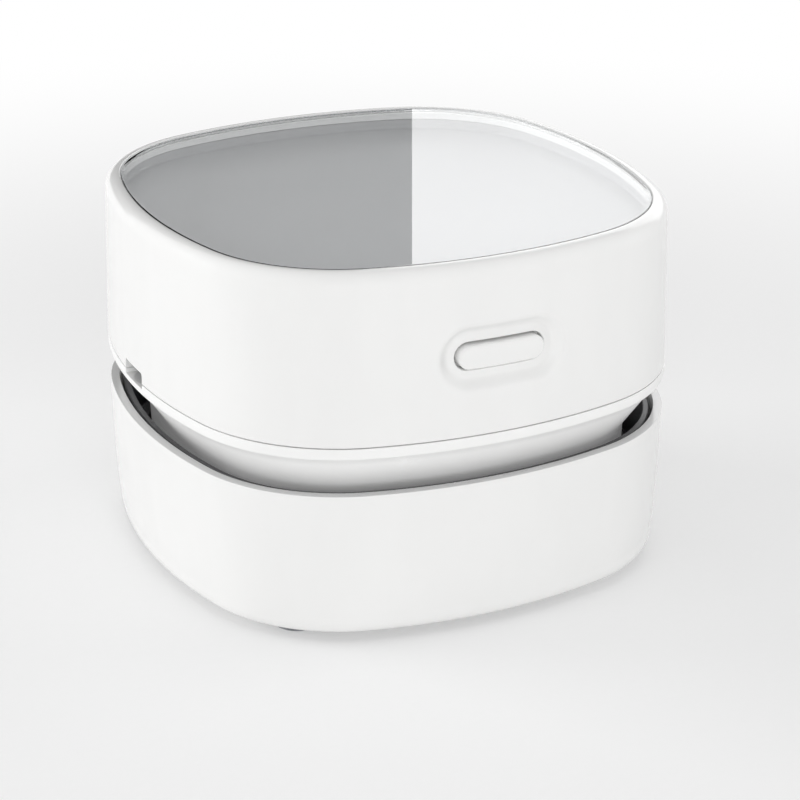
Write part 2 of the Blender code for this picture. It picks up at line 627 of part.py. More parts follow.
def brush_strips():
    """Four straight strips round the mouth: strands of three sides fused to a thin backing"""
    half = BRUSH_LENGTH / 2
    recess_wall = -front_wall(half, HALF_WIDTH - MOUTH_HALF)
    outer = recess_wall - GAP
    middle = outer - BRUSH_WIDTH / 2
    backing_top = MOUTH_TOP - GAP
    backing_bottom = backing_top - BRUSH_BACKING
    for name, turn in (("brush_front", 0), ("brush_right", 1), ("brush_back", 2), ("brush_left", 3)):
        angle = turn * math.pi / 2
        strip = box(name, (-half, -outer, backing_bottom), (half, BRUSH_WIDTH - outer, backing_top),
                    "bristle", turn=angle)
        strands = bmesh.new()
        for row in range(STRAND_ROWS):
            across = (row + 0.5) / STRAND_ROWS - 0.5
            for i in range(STRANDS_IN_ROW):
                along = (i + 0.5) / STRANDS_IN_ROW - 0.5
                root = Vector((along * BRUSH_LENGTH, across * BRUSH_WIDTH - middle, backing_bottom + SINK))
                tip = Vector((root.x, root.y + 2 * across * STRAND_SPLAY, BRUSH_TIP))
                base = bmesh.ops.create_cone(strands, cap_ends=True, segments=STRAND_SIDES,
                                             radius1=STRAND_RADIUS, radius2=STRAND_RADIUS,
                                             depth=(root - tip).length)["verts"]
                turned_tip = Vector((0, 0, 1)).rotation_difference(root - tip).to_matrix()
                bmesh.ops.rotate(strands, verts=base, matrix=turned_tip)
                bmesh.ops.translate(strands, verts=base, vec=(root + tip) / 2)
        bmesh.ops.rotate(strands, verts=strands.verts, matrix=Matrix.Rotation(angle, 3, "Z"))
        join(strip, finished(name + "_strands", strands))


def filter_parts():
    """The lift-out frame with its tall wall and its collar, the filter in its basket, and the seal"""
    outer = LEDGE_INSET + GAP
    wall_top = LOWER_RIM - FRAME_WALL_DROP
    collar_inner = NECK_INSET - GAP
    collar_outer = collar_inner - COLLAR_WALL
    groove_floor = FRAME_TOP - SEAL_GROOVE
    groove_inner = collar_inner + SEAL_WIDTH + 2 * GAP
    basket_bottom = FRAME_BOTTOM - BASKET_DEPTH
    opening = FILTER_OPENING_INSET
    profile = [(outer, FRAME_BOTTOM), (outer, wall_top), (outer + FRAME_WALL, wall_top),
               (outer + FRAME_WALL, FRAME_TOP), (collar_outer, FRAME_TOP),
               (collar_outer, FRAME_TOP + COLLAR_HEIGHT), (collar_inner, FRAME_TOP + COLLAR_HEIGHT),
               (collar_inner, groove_floor), (groove_inner, groove_floor), (groove_inner, FRAME_TOP),
               (opening, FRAME_TOP), (opening, basket_bottom), (opening - BASKET_WALL, basket_bottom),
               (opening - BASKET_WALL, FRAME_BOTTOM)]
    frame = skin("filter_frame", [inner_outline(inset, z) for inset, z in profile], "dark_plastic",
                 ring=True)
    reach = HALF_WIDTH - opening + BASKET_WALL / 2
    grid_top = basket_bottom + GRID_BAR
    for name, along_x in (("grid_bars_x", True), ("grid_bars_y", False)):
        bars = []
        for i in range(GRID_COUNT):
            across = GRID_PITCH * (i - (GRID_COUNT - 1) / 2)
            length = reach - (SIDE_RADIUS - math.sqrt(SIDE_RADIUS ** 2 - across ** 2))
            low = Vector((-length, across - GRID_BAR / 2, basket_bottom))
            high = Vector((length, across + GRID_BAR / 2, grid_top))
            if not along_x:
                low.xy, high.xy = low.yx, high.yx
            bars.append((low, high))
        join(frame, boxes(name, bars))
    pad = [(opening + GAP, grid_top + GAP), (opening + GAP, FRAME_TOP)]
    skin("filter_pad", [inner_outline(inset, z) for inset, z in pad], "filter_felt")
    seal_outer = collar_inner + GAP
    seal_bottom = groove_floor + GAP / 2
    seal = [(seal_outer, seal_bottom), (seal_outer, seal_bottom + SEAL_HEIGHT),
            (seal_outer + SEAL_WIDTH, seal_bottom + SEAL_HEIGHT), (seal_outer + SEAL_WIDTH, seal_bottom)]
    skin("seal_ring", [inner_outline(inset, z) for inset, z in seal], "seal_rubber", ring=True)


def upper_housing():
    """The outer shell: wall, shoulder, rim, the ledge under the window, screw posts, dish and port notch"""
    rib = UPPER_BOTTOM + POST_RIB_BOTTOM
    ledge_inset = LIP_INSET + WINDOW_LEDGE
    profile = [(-FLANGE_PROUD, UPPER_BOTTOM)]
    profile += [(SHOULDER_WIDTH * across, SHOULDER_BOTTOM + SHOULDER_HEIGHT * up)
                for across, up in SHOULDER_SHARES]
    profile += [(LIP_INSET, CREST - LIP_ROUND), (LIP_INSET, WINDOW_LEDGE_TOP),
                (ledge_inset, WINDOW_LEDGE_TOP), (ledge_inset, WINDOW_LEDGE_BOTTOM),
                (UPPER_WALL, WINDOW_LEDGE_BOTTOM), (UPPER_WALL - FLANGE_PROUD, UPPER_BOTTOM)]
    housing = skin("upper_housing", [outline(inset, z) for inset, z in profile], "white_gloss", ring=True)
    posts = cylinders("screw_posts", COLUMN_RADIUS,
                      [((x, y, POST_BOTTOM), (x, y, POST_TOP)) for x, y in corners(SCREW_OFFSET)],
                      SMALL_ROUND_STEPS)
    corner_reach = SEAM_CENTRE * math.sqrt(2) + CORNER_RADIUS - UPPER_WALL / 2
    for number in range(4):
        join(housing, box(f"post_rib_{number}", (SCREW_OFFSET * math.sqrt(2), -POST_RIB / 2, rib),
                          (corner_reach, POST_RIB / 2, POST_TOP), turn=math.pi / 4 + number * math.pi / 2))
    holes = cylinders("post_holes", SCREW_RADIUS + GAP,
                      [((x, y, POST_BOTTOM - OVERRUN), (x, y, SCREW_TOP + OVERRUN))
                       for x, y in corners(SCREW_OFFSET)], SMALL_ROUND_STEPS)
    boss = skin("button_boss", [stadium(DISH_LENGTH, DISH_WIDTH, -BOSS_MARGIN, depth)
                                for depth in (WALL_AT_BUTTON + UPPER_WALL / 2, BOSS_BACK)], bowed=True)
    dish_loops = [stadium(DISH_LENGTH, DISH_WIDTH, -DISH_BLEND, WALL_AT_BUTTON - OVERRUN)]
    dish_loops += [stadium(DISH_LENGTH, DISH_WIDTH, DISH_BLEND * across, WALL_AT_BUTTON + DISH_DEPTH * down)
                   for across, down in DISH_SHARES]
    dish = skin("button_dish", dish_loops, bowed=True)
    slot = skin("button_slot", [stadium(BUTTON_LENGTH, BUTTON_WIDTH, -GAP, depth)
                                for depth in (WALL_AT_BUTTON, BOSS_BACK + OVERRUN)], bowed=True)
    notch = box("port_notch", (-HALF_WIDTH - OVERRUN, PORT_OFFSET - PORT_WIDTH / 2, UPPER_BOTTOM - OVERRUN),
                (SOCKET_FRONT + OVERRUN, PORT_OFFSET + PORT_WIDTH / 2, UPPER_BOTTOM + PORT_HEIGHT))
    join(housing, posts, boss)
    cut(housing, holes, dish, slot, notch)


def window_and_tray():
    """The clear cover, and the shallow tray under it"""
    edge = LIP_INSET + WINDOW_SIDE_GAP
    profile = [(edge, WINDOW_BOTTOM), (edge, WINDOW_TOP - WINDOW_EDGE), (edge + WINDOW_EDGE, WINDOW_TOP)]
    skin("top_window", [outline(inset, z) for inset, z in profile], "clear_window")
    outer = UPPER_WALL + GAP
    profile = [(outer + TRAY_ROUND, TRAY_BOTTOM), (outer, TRAY_BOTTOM + TRAY_ROUND), (outer, TRAY_RIM),
               (outer + TRAY_WALL, TRAY_RIM), (outer + TRAY_WALL, TRAY_FLOOR_TOP)]
    skin("top_tray", [inner_outline(inset, z) for inset, z in profile], "tray_grey")


def chassis():
    """Flange, neck and deck in one moulding, with everything that holds the motor, boards and battery"""
    rib_outer = UPPER_WALL - FLANGE_PROUD + GAP
    rib_inner = rib_outer + LOCATING_RIB
    rib_top = FLANGE_TOP + LOCATING_RIB_HEIGHT
    profile = [(NECK_INNER_INSET, DECK_BOTTOM), (NECK_INNER_INSET, NECK_BOTTOM),
               (NECK_FOOT_INSET, NECK_BOTTOM)]
    lean_foot = NECK_BOTTOM + NECK_UPRIGHT
    lean_height = FLANGE_BOTTOM - lean_foot
    flange_edge = FLANGE_EDGE_WIDTH - FLANGE_PROUD
    profile += [(NECK_INSET + (flange_edge - NECK_INSET) * out, lean_foot + lean_height * up)
                for out, up in NECK_LEAN_SHARES]
    profile += [(flange_edge, FLANGE_BOTTOM),
                (-FLANGE_PROUD, FLANGE_BOTTOM + FLANGE_EDGE_HEIGHT), (-FLANGE_PROUD, FLANGE_TOP),
                (rib_outer, FLANGE_TOP), (rib_outer, rib_top), (rib_inner, rib_top), (rib_inner, FLANGE_TOP),
                (NECK_INNER_INSET, FLANGE_TOP), (NECK_INNER_INSET, DECK_TOP)]
    frame = skin("chassis", [outline(inset, z) for inset, z in profile], "white_gloss")
    columns = cylinders("screw_columns", COLUMN_RADIUS,
                        [((x, y, COLUMN_BOTTOM), (x, y, DECK_BOTTOM + SINK))
                         for x, y in corners(SCREW_OFFSET)], SMALL_ROUND_STEPS)
    cup_inner = MOTOR_RADIUS + DAMPER_THICKNESS + 2 * GAP
    cup_top = DECK_TOP + CUP_HEIGHT
    cup_foot = DECK_TOP - SINK
    cup = turned("motor_cup", [(cup_inner + CUP_WALL, cup_top), (cup_inner + CUP_WALL, cup_foot),
                               (cup_inner, cup_foot), (cup_inner, cup_top)])
    fence_x = BATTERY_LENGTH / 2 + GAP
    fence_y = BATTERY_DEPTH / 2 + GAP
    fence = box("battery_fence", (-fence_x - FENCE_WALL, BATTERY_OFFSET - fence_y - FENCE_WALL, cup_foot),
                (fence_x + FENCE_WALL, BATTERY_OFFSET + fence_y + FENCE_WALL, DECK_TOP + FENCE_HEIGHT))
    pocket = box("battery_pocket", (-fence_x, BATTERY_OFFSET - fence_y, DECK_TOP),
                 (fence_x, BATTERY_OFFSET + fence_y, DECK_TOP + FENCE_HEIGHT + OVERRUN))
    board_middle = (SWITCH_BOARD_FRONT + SWITCH_BOARD_BACK) / 2
    slot_outer = SWITCH_BOARD_WIDTH / 2 + GAP
    post_inner = slot_outer - SLOT_DEPTH
    post_top = SWITCH_BOARD_BOTTOM + SWITCH_BOARD_HEIGHT / 2
    post_middle = post_inner + SLOT_POST / 2
    posts = boxes("slot_posts", [((x - SLOT_POST / 2, board_middle - SLOT_POST_DEPTH / 2, cup_foot),
                                  (x + SLOT_POST / 2, board_middle + SLOT_POST_DEPTH / 2, post_top))
                                 for x in (-post_middle, post_middle)])
    grooves = box("board_grooves", (-slot_outer, SWITCH_BOARD_FRONT - GAP, SWITCH_BOARD_BOTTOM - GAP),
                  (slot_outer, SWITCH_BOARD_BACK + GAP, post_top + OVERRUN))
    board_posts = cylinders("board_posts", BOARD_POST_RADIUS,
                            [((x, y, cup_foot), (x, y, CHARGE_BOARD_BOTTOM - GAP))
                             for x, y in board_post_places()], SMALL_ROUND_STEPS)
    board_holes = cylinders("board_holes", BOARD_SCREW_RADIUS + GAP,
                            [((x, y, CHARGE_BOARD_TOP - BOARD_SCREW_LENGTH - GAP), (x, y, CHARGE_BOARD_TOP))
                             for x, y in board_post_places()], TINY_ROUND_STEPS)
    port = box("port_floor", (-HALF_WIDTH - OVERRUN, PORT_OFFSET - PORT_WIDTH / 2, FLANGE_TOP - PORT_SINK),
               (SOCKET_FRONT + SOCKET_LENGTH + GAP, PORT_OFFSET + PORT_WIDTH / 2, rib_top + OVERRUN))
    shaft_hole = cylinders("boss_hole", MOTOR_BOSS_HOLE,
                           [((0, 0, DECK_BOTTOM - OVERRUN), (0, 0, DECK_TOP + OVERRUN))], SMALL_ROUND_STEPS)
    screw_holes = cylinders("motor_screw_holes", MOTOR_SCREW_RADIUS + GAP,
                            [((side * MOTOR_SCREW_OFFSET, 0, DECK_BOTTOM - OVERRUN),
                              (side * MOTOR_SCREW_OFFSET, 0, DECK_TOP + OVERRUN)) for side in (-1, 1)],
                            TINY_ROUND_STEPS)
    column_holes = cylinders("column_holes", SCREW_RADIUS + GAP,
                             [((x, y, COLUMN_BOTTOM - OVERRUN), (x, y, DECK_TOP + OVERRUN))
                              for x, y in corners(SCREW_OFFSET)], SMALL_ROUND_STEPS)
    vent_places = [VENT_PITCH * (i - (VENT_COUNT - 1) / 2) for i in range(VENT_COUNT)]
    back = -front_wall(vent_places[-1], NECK_INNER_INSET) - OVERRUN
    vents = boxes("vent_slots", [((x - VENT_WIDTH / 2, back, NECK_BOTTOM + VENT_RISE),
                                  (x + VENT_WIDTH / 2, HALF_WIDTH, NECK_BOTTOM + VENT_RISE + VENT_HEIGHT))
                                 for x in vent_places])
    join(frame, columns, cup, fence, posts, board_posts)
    cut(frame, pocket, grooves, board_holes, port, shaft_hole, screw_holes, column_holes, vents)


def fan_plate():
    """Closes the fan chamber from below, with the air intake and its guard"""
    plate = skin("fan_plate", [inner_outline(NECK_FOOT_INSET, z) for z in (PLATE_BOTTOM, PLATE_TOP)],
                 "white_satin")
    pads = cylinders("plate_pads", PLATE_PAD_RADIUS,
                     [((x, y, PLATE_TOP - SINK), (x, y, PLATE_TOP + PLATE_PAD))
                      for x, y in corners(SCREW_OFFSET)], SMALL_ROUND_STEPS)
    eye = cylinders("air_intake", EYE_RADIUS, [((0, 0, PLATE_BOTTOM - OVERRUN), (0, 0, PLATE_TOP + OVERRUN))])
    reach = EYE_RADIUS + SINK
    bar_low, bar_high = PLATE_BOTTOM + SINK, PLATE_TOP - SINK
    bars_x = box("guard_bar_x", (-reach, -EYE_BAR / 2, bar_low), (reach, EYE_BAR / 2, bar_high))
    bars_y = box("guard_bar_y", (-EYE_BAR / 2, -reach, bar_low), (EYE_BAR / 2, reach, bar_high))
    hub = cylinders("guard_hub", EYE_HUB_RADIUS, [((0, 0, PLATE_BOTTOM), (0, 0, PLATE_TOP))],
                    SMALL_ROUND_STEPS)
    sinks = cylinders("head_pockets", SCREW_HEAD_RADIUS + GAP,
                      [((x, y, PLATE_BOTTOM - OVERRUN), (x, y, PLATE_BOTTOM + SCREW_SINK))
                       for x, y in corners(SCREW_OFFSET)], SMALL_ROUND_STEPS)
    holes = cylinders("plate_holes", SCREW_RADIUS + GAP,
                      [((x, y, PLATE_BOTTOM), (x, y, PLATE_TOP + PLATE_PAD + OVERRUN))
                       for x, y in corners(SCREW_OFFSET)], SMALL_ROUND_STEPS)
    join(plate, pads)
    cut(plate, eye)
    join(plate, bars_x, bars_y, hub)
    cut(plate, sinks, holes)


def screws(name, places, radius, head_radius, head_low, head_high, end):
    """A set of equal screws, with the slot on the side of the head that faces away from the shank"""
    upwards = end > head_high
    start = head_high - SINK if upwards else head_low + SINK
    slot_low = head_low - OVERRUN if upwards else head_high - SCREW_SLOT_DEPTH
    slot_high = head_low + SCREW_SLOT_DEPTH if upwards else head_high + OVERRUN
    for number, (x, y) in enumerate(places, 1):
        screw = cylinders(f"{name}_{number}", head_radius, [((x, y, head_low), (x, y, head_high))],
                          SMALL_ROUND_STEPS, "steel")
        join(screw, cylinders(f"{name}_shank_{number}", radius, [((x, y, start), (x, y, end))],
                              TINY_ROUND_STEPS))
        reach = head_radius + OVERRUN
        cut(screw, box(f"{name}_slot_{number}", (x - reach, y - SCREW_SLOT_WIDTH / 2, slot_low),
                       (x + reach, y + SCREW_SLOT_WIDTH / 2, slot_high)))


def all_screws():
    screws("case_screw", corners(SCREW_OFFSET), SCREW_RADIUS, SCREW_HEAD_RADIUS,
           SCREW_HEAD_TOP - SCREW_HEAD_HEIGHT, SCREW_HEAD_TOP, SCREW_TOP)
    head_top = DECK_BOTTOM - GAP
    screws("motor_screw", [(-MOTOR_SCREW_OFFSET, 0), (MOTOR_SCREW_OFFSET, 0)], MOTOR_SCREW_RADIUS,
           MOTOR_SCREW_HEAD_RADIUS, head_top - MOTOR_SCREW_HEAD_HEIGHT, head_top,
           MOTOR_BOTTOM + MOTOR_SCREW_GRIP)
    head_low = CHARGE_BOARD_TOP + GAP
    screws("board_screw", board_post_places(), BOARD_SCREW_RADIUS, BOARD_SCREW_HEAD_RADIUS,
           head_low, head_low + BOARD_SCREW_HEAD_HEIGHT, CHARGE_BOARD_TOP - BOARD_SCREW_LENGTH)


def power_button():
    """The button with its holding flange; the origin lies at its middle"""
    loops = [stadium(BUTTON_LENGTH, BUTTON_WIDTH, BUTTON_EDGE, WALL_AT_BUTTON),
             stadium(BUTTON_LENGTH, BUTTON_WIDTH, BUTTON_EDGE / 4, WALL_AT_BUTTON + BUTTON_EDGE / 4),
             stadium(BUTTON_LENGTH, BUTTON_WIDTH, 0, WALL_AT_BUTTON + BUTTON_EDGE),
             stadium(BUTTON_LENGTH, BUTTON_WIDTH, 0, BUTTON_FLANGE_FRONT),
             stadium(BUTTON_LENGTH, BUTTON_WIDTH, -BUTTON_FLANGE, BUTTON_FLANGE_FRONT),
             stadium(BUTTON_LENGTH, BUTTON_WIDTH, -BUTTON_FLANGE, BUTTON_BACK)]
    skin("power_button", loops, "white_gloss", bowed=True,
         centre=(0, front_wall(0, WALL_AT_BUTTON), BUTTON_MIDDLE))


def switch_parts():
    """The small upright board with the switch that the button presses"""
    half = SWITCH_WIDTH / 2
    body = box("push_switch", (-half, SWITCH_FRONT, BUTTON_MIDDLE - half),
               (half, SWITCH_BACK, BUTTON_MIDDLE + half), "black_plastic")
    cut(body, cylinders("switch_hole", PLUNGER_RADIUS + GAP,
                        [((0, SWITCH_FRONT - OVERRUN, BUTTON_MIDDLE), (0, SWITCH_HOLE_END, BUTTON_MIDDLE))],
                        SMALL_ROUND_STEPS))
    cylinders("switch_plunger", PLUNGER_RADIUS,
              [((0, PLUNGER_FRONT, BUTTON_MIDDLE), (0, PLUNGER_BACK, BUTTON_MIDDLE))],
              SMALL_ROUND_STEPS, "tray_grey")
    box("switch_board", (-SWITCH_BOARD_WIDTH / 2, SWITCH_BOARD_FRONT, SWITCH_BOARD_BOTTOM),
        (SWITCH_BOARD_WIDTH / 2, SWITCH_BOARD_BACK, SWITCH_BOARD_BOTTOM + SWITCH_BOARD_HEIGHT), "board_green")


def charging_parts():
    """The charging socket behind the notch, under its board"""
    half = SOCKET_WIDTH / 2
    back = SOCKET_FRONT + SOCKET_LENGTH
    socket = box("usb_receptacle", (SOCKET_FRONT, PORT_OFFSET - half, SOCKET_BOTTOM),
                 (back, PORT_OFFSET + half, SOCKET_TOP), "steel")
    cut(socket, box("socket_mouth", (SOCKET_FRONT - OVERRUN, PORT_OFFSET - half + SOCKET_WALL,
                                     SOCKET_BOTTOM + SOCKET_WALL),
                    (back - SOCKET_WALL, PORT_OFFSET + half - SOCKET_WALL, SOCKET_TOP - SOCKET_WALL)))
    middle = (SOCKET_BOTTOM + SOCKET_TOP) / 2
    join(socket, box("socket_tongue", (SOCKET_FRONT + 2 * SOCKET_WALL, PORT_OFFSET - TONGUE_WIDTH / 2,
                                       middle - TONGUE_THICKNESS / 2),
                     (back - SOCKET_WALL / 2, PORT_OFFSET + TONGUE_WIDTH / 2, middle + TONGUE_THICKNESS / 2)))
    board_half = CHARGE_BOARD_WIDTH / 2
    board = box("charge_board", (CHARGE_BOARD_FRONT, PORT_OFFSET - board_half, CHARGE_BOARD_BOTTOM),
                (CHARGE_BOARD_BACK, PORT_OFFSET + board_half, CHARGE_BOARD_TOP), "board_green")
    cut(board, cylinders("board_screw_holes", BOARD_SCREW_RADIUS + GAP,
                         [((x, y, CHARGE_BOARD_BOTTOM - OVERRUN), (x, y, CHARGE_BOARD_TOP + OVERRUN))
                          for x, y in board_post_places()], TINY_ROUND_STEPS))


def arc_prism(name, inner, outer, middle_angle, half_angle, bottom, top, material_name):
    """A curved bar between two radii"""
    angles = [middle_angle + half_angle * (2 * i / MAGNET_STEPS - 1) for i in range(MAGNET_STEPS + 1)]
    flat = [(outer * math.cos(a), outer * math.sin(a)) for a in angles]
    flat += [(inner * math.cos(a), inner * math.sin(a)) for a in reversed(angles)]
    skin(name, [[(x, y, z) for x, y in flat] for z in (bottom, top)], material_name)


def motor():
    """Can, magnets, armature, shaft and end cap of a small direct-current motor, with its rubber sleeve"""
    inner = MOTOR_RADIUS - MOTOR_WALL
    hole = SHAFT_RADIUS + GAP
    can = turned("motor_can", [(MOTOR_RADIUS, MOTOR_TOP), (MOTOR_RADIUS, MOTOR_BOTTOM), (hole, MOTOR_BOTTOM),
                               (hole, MOTOR_BOTTOM + MOTOR_BASE), (inner, MOTOR_BOTTOM + MOTOR_BASE),
                               (inner, MOTOR_TOP)], "steel")
    cut(can, cylinders("can_screw_holes", MOTOR_SCREW_RADIUS + GAP,
                       [((side * MOTOR_SCREW_OFFSET, 0, MOTOR_BOTTOM - OVERRUN),
                         (side * MOTOR_SCREW_OFFSET, 0, MOTOR_BOTTOM + MOTOR_BASE + OVERRUN))
                        for side in (-1, 1)], TINY_ROUND_STEPS))
    magnet_outer = inner - GAP
    magnet_middle = ARMATURE_BOTTOM + ARMATURE_HEIGHT / 2
    for name, angle in (("motor_magnet_left", math.pi), ("motor_magnet_right", 0)):
        arc_prism(name, magnet_outer - MAGNET_THICKNESS, magnet_outer, angle, MAGNET_HALF_ANGLE,
                  magnet_middle - MAGNET_HEIGHT / 2, magnet_middle + MAGNET_HEIGHT / 2, "magnet")
    flat = []
    for pole in range(ARMATURE_POLES):
        pitch = 2 * math.pi / ARMATURE_POLES
        for share in ARMATURE_FACE_SHARES:
            angle = pitch * (pole + share * ARMATURE_POLE_SHARE)
            flat.append((ARMATURE_RADIUS * math.cos(angle), ARMATURE_RADIUS * math.sin(angle)))
        angle = pitch * (pole + 0.5)
        flat.append((ARMATURE_CORE_RADIUS * math.cos(angle), ARMATURE_CORE_RADIUS * math.sin(angle)))
    armature = skin("motor_armature", [[(x, y, z) for x, y in flat] for z in (ARMATURE_BOTTOM, ARMATURE_TOP)],
                    "copper")
    join(armature, cylinders("commutator", COMMUTATOR_RADIUS,
                             [((0, 0, ARMATURE_TOP - SINK), (0, 0, ARMATURE_TOP + COMMUTATOR_HEIGHT))],
                             SMALL_ROUND_STEPS))
    above = ARMATURE_TOP + COMMUTATOR_HEIGHT + OVERRUN
    cut(armature, cylinders("armature_bore", hole, [((0, 0, ARMATURE_BOTTOM - OVERRUN), (0, 0, above))],
                            SMALL_ROUND_STEPS))
    cylinders("motor_shaft", SHAFT_RADIUS, [((0, 0, SHAFT_BOTTOM), (0, 0, SHAFT_TOP))], SMALL_ROUND_STEPS,
              "steel")
    spigot = inner - GAP
    cap = turned("motor_end_cap", [(0, END_CAP_TOP), (MOTOR_RADIUS, END_CAP_TOP),
                                   (MOTOR_RADIUS, END_CAP_BOTTOM), (spigot, END_CAP_BOTTOM),
                                   (spigot, SPIGOT_BOTTOM), (hole, SPIGOT_BOTTOM),
                                   (hole, SPIGOT_BOTTOM + BEARING_DEPTH), (0, SPIGOT_BOTTOM + BEARING_DEPTH)],
                 "black_plastic", ring=False)
    join(cap, boxes("terminals", [((side * TERMINAL_OFFSET - TERMINAL_WIDTH / 2, -TERMINAL_THICKNESS / 2,
                                    END_CAP_TOP - SINK),
                                   (side * TERMINAL_OFFSET + TERMINAL_WIDTH / 2, TERMINAL_THICKNESS / 2,
                                    END_CAP_TOP + TERMINAL_HEIGHT)) for side in (-1, 1)]))
    sleeve = MOTOR_RADIUS + GAP
    turned("motor_damper", [(sleeve + DAMPER_THICKNESS, MOTOR_BOTTOM + DAMPER_HEIGHT),
                            (sleeve + DAMPER_THICKNESS, MOTOR_BOTTOM), (sleeve, MOTOR_BOTTOM),
                            (sleeve, MOTOR_BOTTOM + DAMPER_HEIGHT)], "seal_rubber")


def impeller():
    """A centrifugal fan: a disc with a hub and swept blades under it"""
    fan = cylinders("impeller", IMPELLER_RADIUS, [((0, 0, DISC_BOTTOM), (0, 0, IMPELLER_TOP))],
                    material_name="impeller_grey")
    hub = cylinders("impeller_hub", HUB_RADIUS, [((0, 0, BLADE_BOTTOM), (0, 0, IMPELLER_TOP))],
                    SMALL_ROUND_STEPS)
    blades = bmesh.new()
    for number in range(BLADE_COUNT):
        start = 2 * math.pi * number / BLADE_COUNT
        near, far = [], []
        for i in range(BLADE_STEPS + 1):
            share = i / BLADE_STEPS
            radius = BLADE_INNER_RADIUS + (IMPELLER_RADIUS - SINK - BLADE_INNER_RADIUS) * share
            angle = start + BLADE_SWEEP * share
            half_turn = BLADE_THICKNESS / (2 * radius)
            near.append((radius * math.cos(angle - half_turn), radius * math.sin(angle - half_turn)))
            far.append((radius * math.cos(angle + half_turn), radius * math.sin(angle + half_turn)))
        flat = near + far[::-1]
        rows = [[blades.verts.new((x, y, z)) for x, y in flat] for z in (BLADE_BOTTOM, DISC_BOTTOM + SINK)]
        for i in range(len(flat)):
            blades.faces.new((rows[0][i - 1], rows[0][i], rows[1][i], rows[1][i - 1]))
        blades.faces.new(rows[0])
        blades.faces.new(rows[1])
    join(fan, hub, finished("impeller_blades", blades))
    cut(fan, cylinders("impeller_bore", SHAFT_RADIUS + GAP,
                       [((0, 0, BLADE_BOTTOM - OVERRUN), (0, 0, IMPELLER_TOP + OVERRUN))], SMALL_ROUND_STEPS))


def battery():
    """A flat lithium cell standing in its fence on the deck"""
    box("battery_pack", (-BATTERY_LENGTH / 2, BATTERY_OFFSET - BATTERY_DEPTH / 2, BATTERY_BOTTOM),
        (BATTERY_LENGTH / 2, BATTERY_OFFSET + BATTERY_DEPTH / 2, BATTERY_TOP), "battery_wrap",
        round_edge=BATTERY_ROUND)


def wire(name, route, material_name):
    """A wire along a route, which stays a gap from what it is soldered to"""
    line = bpy.data.curves.new(name, "CURVE")
    line.dimensions = "3D"
    line.bevel_depth = WIRE_RADIUS
    line.bevel_resolution = 1
    line.use_fill_caps = True
    spline = line.splines.new("POLY")
    spline.points.add(len(route) - 1)
    for point, position in zip(spline.points, route):
        point.co = (*position, 1)
    drawn = bpy.data.objects.new(name, line)
    bpy.context.scene.collection.objects.link(drawn)
    mesh = bpy.data.meshes.new_from_object(drawn.evaluated_get(bpy.context.evaluated_depsgraph_get()))
    bpy.data.objects.remove(drawn, do_unlink=True)
    bm = bmesh.new()
    bm.from_mesh(mesh)
    bmesh.ops.remove_doubles(bm, verts=bm.verts, dist=WELD)
    finished(name, bm, material_name)


def wires():
    """Leads from the motor's terminals and from the top of the battery to the charge board"""
    landing = CHARGE_BOARD_TOP + WIRE_RADIUS + GAP
    above = landing + WIRE_CLEARANCE
    solder = END_CAP_TOP + TERMINAL_HEIGHT / 2
    down = -MOTOR_RADIUS - WIRE_RADIUS - WIRE_CLEARANCE
    from_terminals = (-TERMINAL_OFFSET - TERMINAL_WIDTH / 2 - GAP, TERMINAL_OFFSET - TERMINAL_WIDTH / 2 - GAP)
    for number, (start, side) in enumerate(zip(from_terminals, (-1, 1)), 1):
        y = side * (WIRE_RADIUS + WIRE_CLEARANCE)
        over = solder + (number - 1) * WIRE_CLEARANCE
        wire(f"motor_lead_{number}",
             [(start, 0, solder), (start - WIRE_CLEARANCE, y, over), (down, y, over), (down, y, above),
              (down - WIRE_CLEARANCE, y, landing), (BOARD_POST_X, y, landing)], "red_wire")
    over = BATTERY_TOP + WIRE_RADIUS + GAP
    front = BATTERY_OFFSET - BATTERY_DEPTH / 2 - WIRE_CLEARANCE
    landing_y = PORT_OFFSET + BOARD_POST_SPREAD / 2
    for number in (1, 2):
        start = -BATTERY_LENGTH / 2 + number * LEAD_PITCH
        end = CHARGE_BOARD_FRONT + LEAD_LANDING + number * LEAD_PITCH
        wire(f"battery_lead_{number}",
             [(start, BATTERY_OFFSET, over), (start, front, over),
              (start, front - WIRE_CLEARANCE, over - WIRE_CLEARANCE),
              (end, landing_y, above), (end, landing_y - WIRE_CLEARANCE, landing),
              (end, PORT_OFFSET, landing)], "black_plastic")


clear_scene()
lower_housing()
glide_pads()
brush_strips()
filter_parts()
upper_housing()
window_and_tray()
chassis()
fan_plate()
all_screws()
power_button()
switch_parts()
charging_parts()
motor()
impeller()
battery()
wires()
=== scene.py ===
import math
import random

import bmesh
import bpy
from mathutils import Matrix, Vector

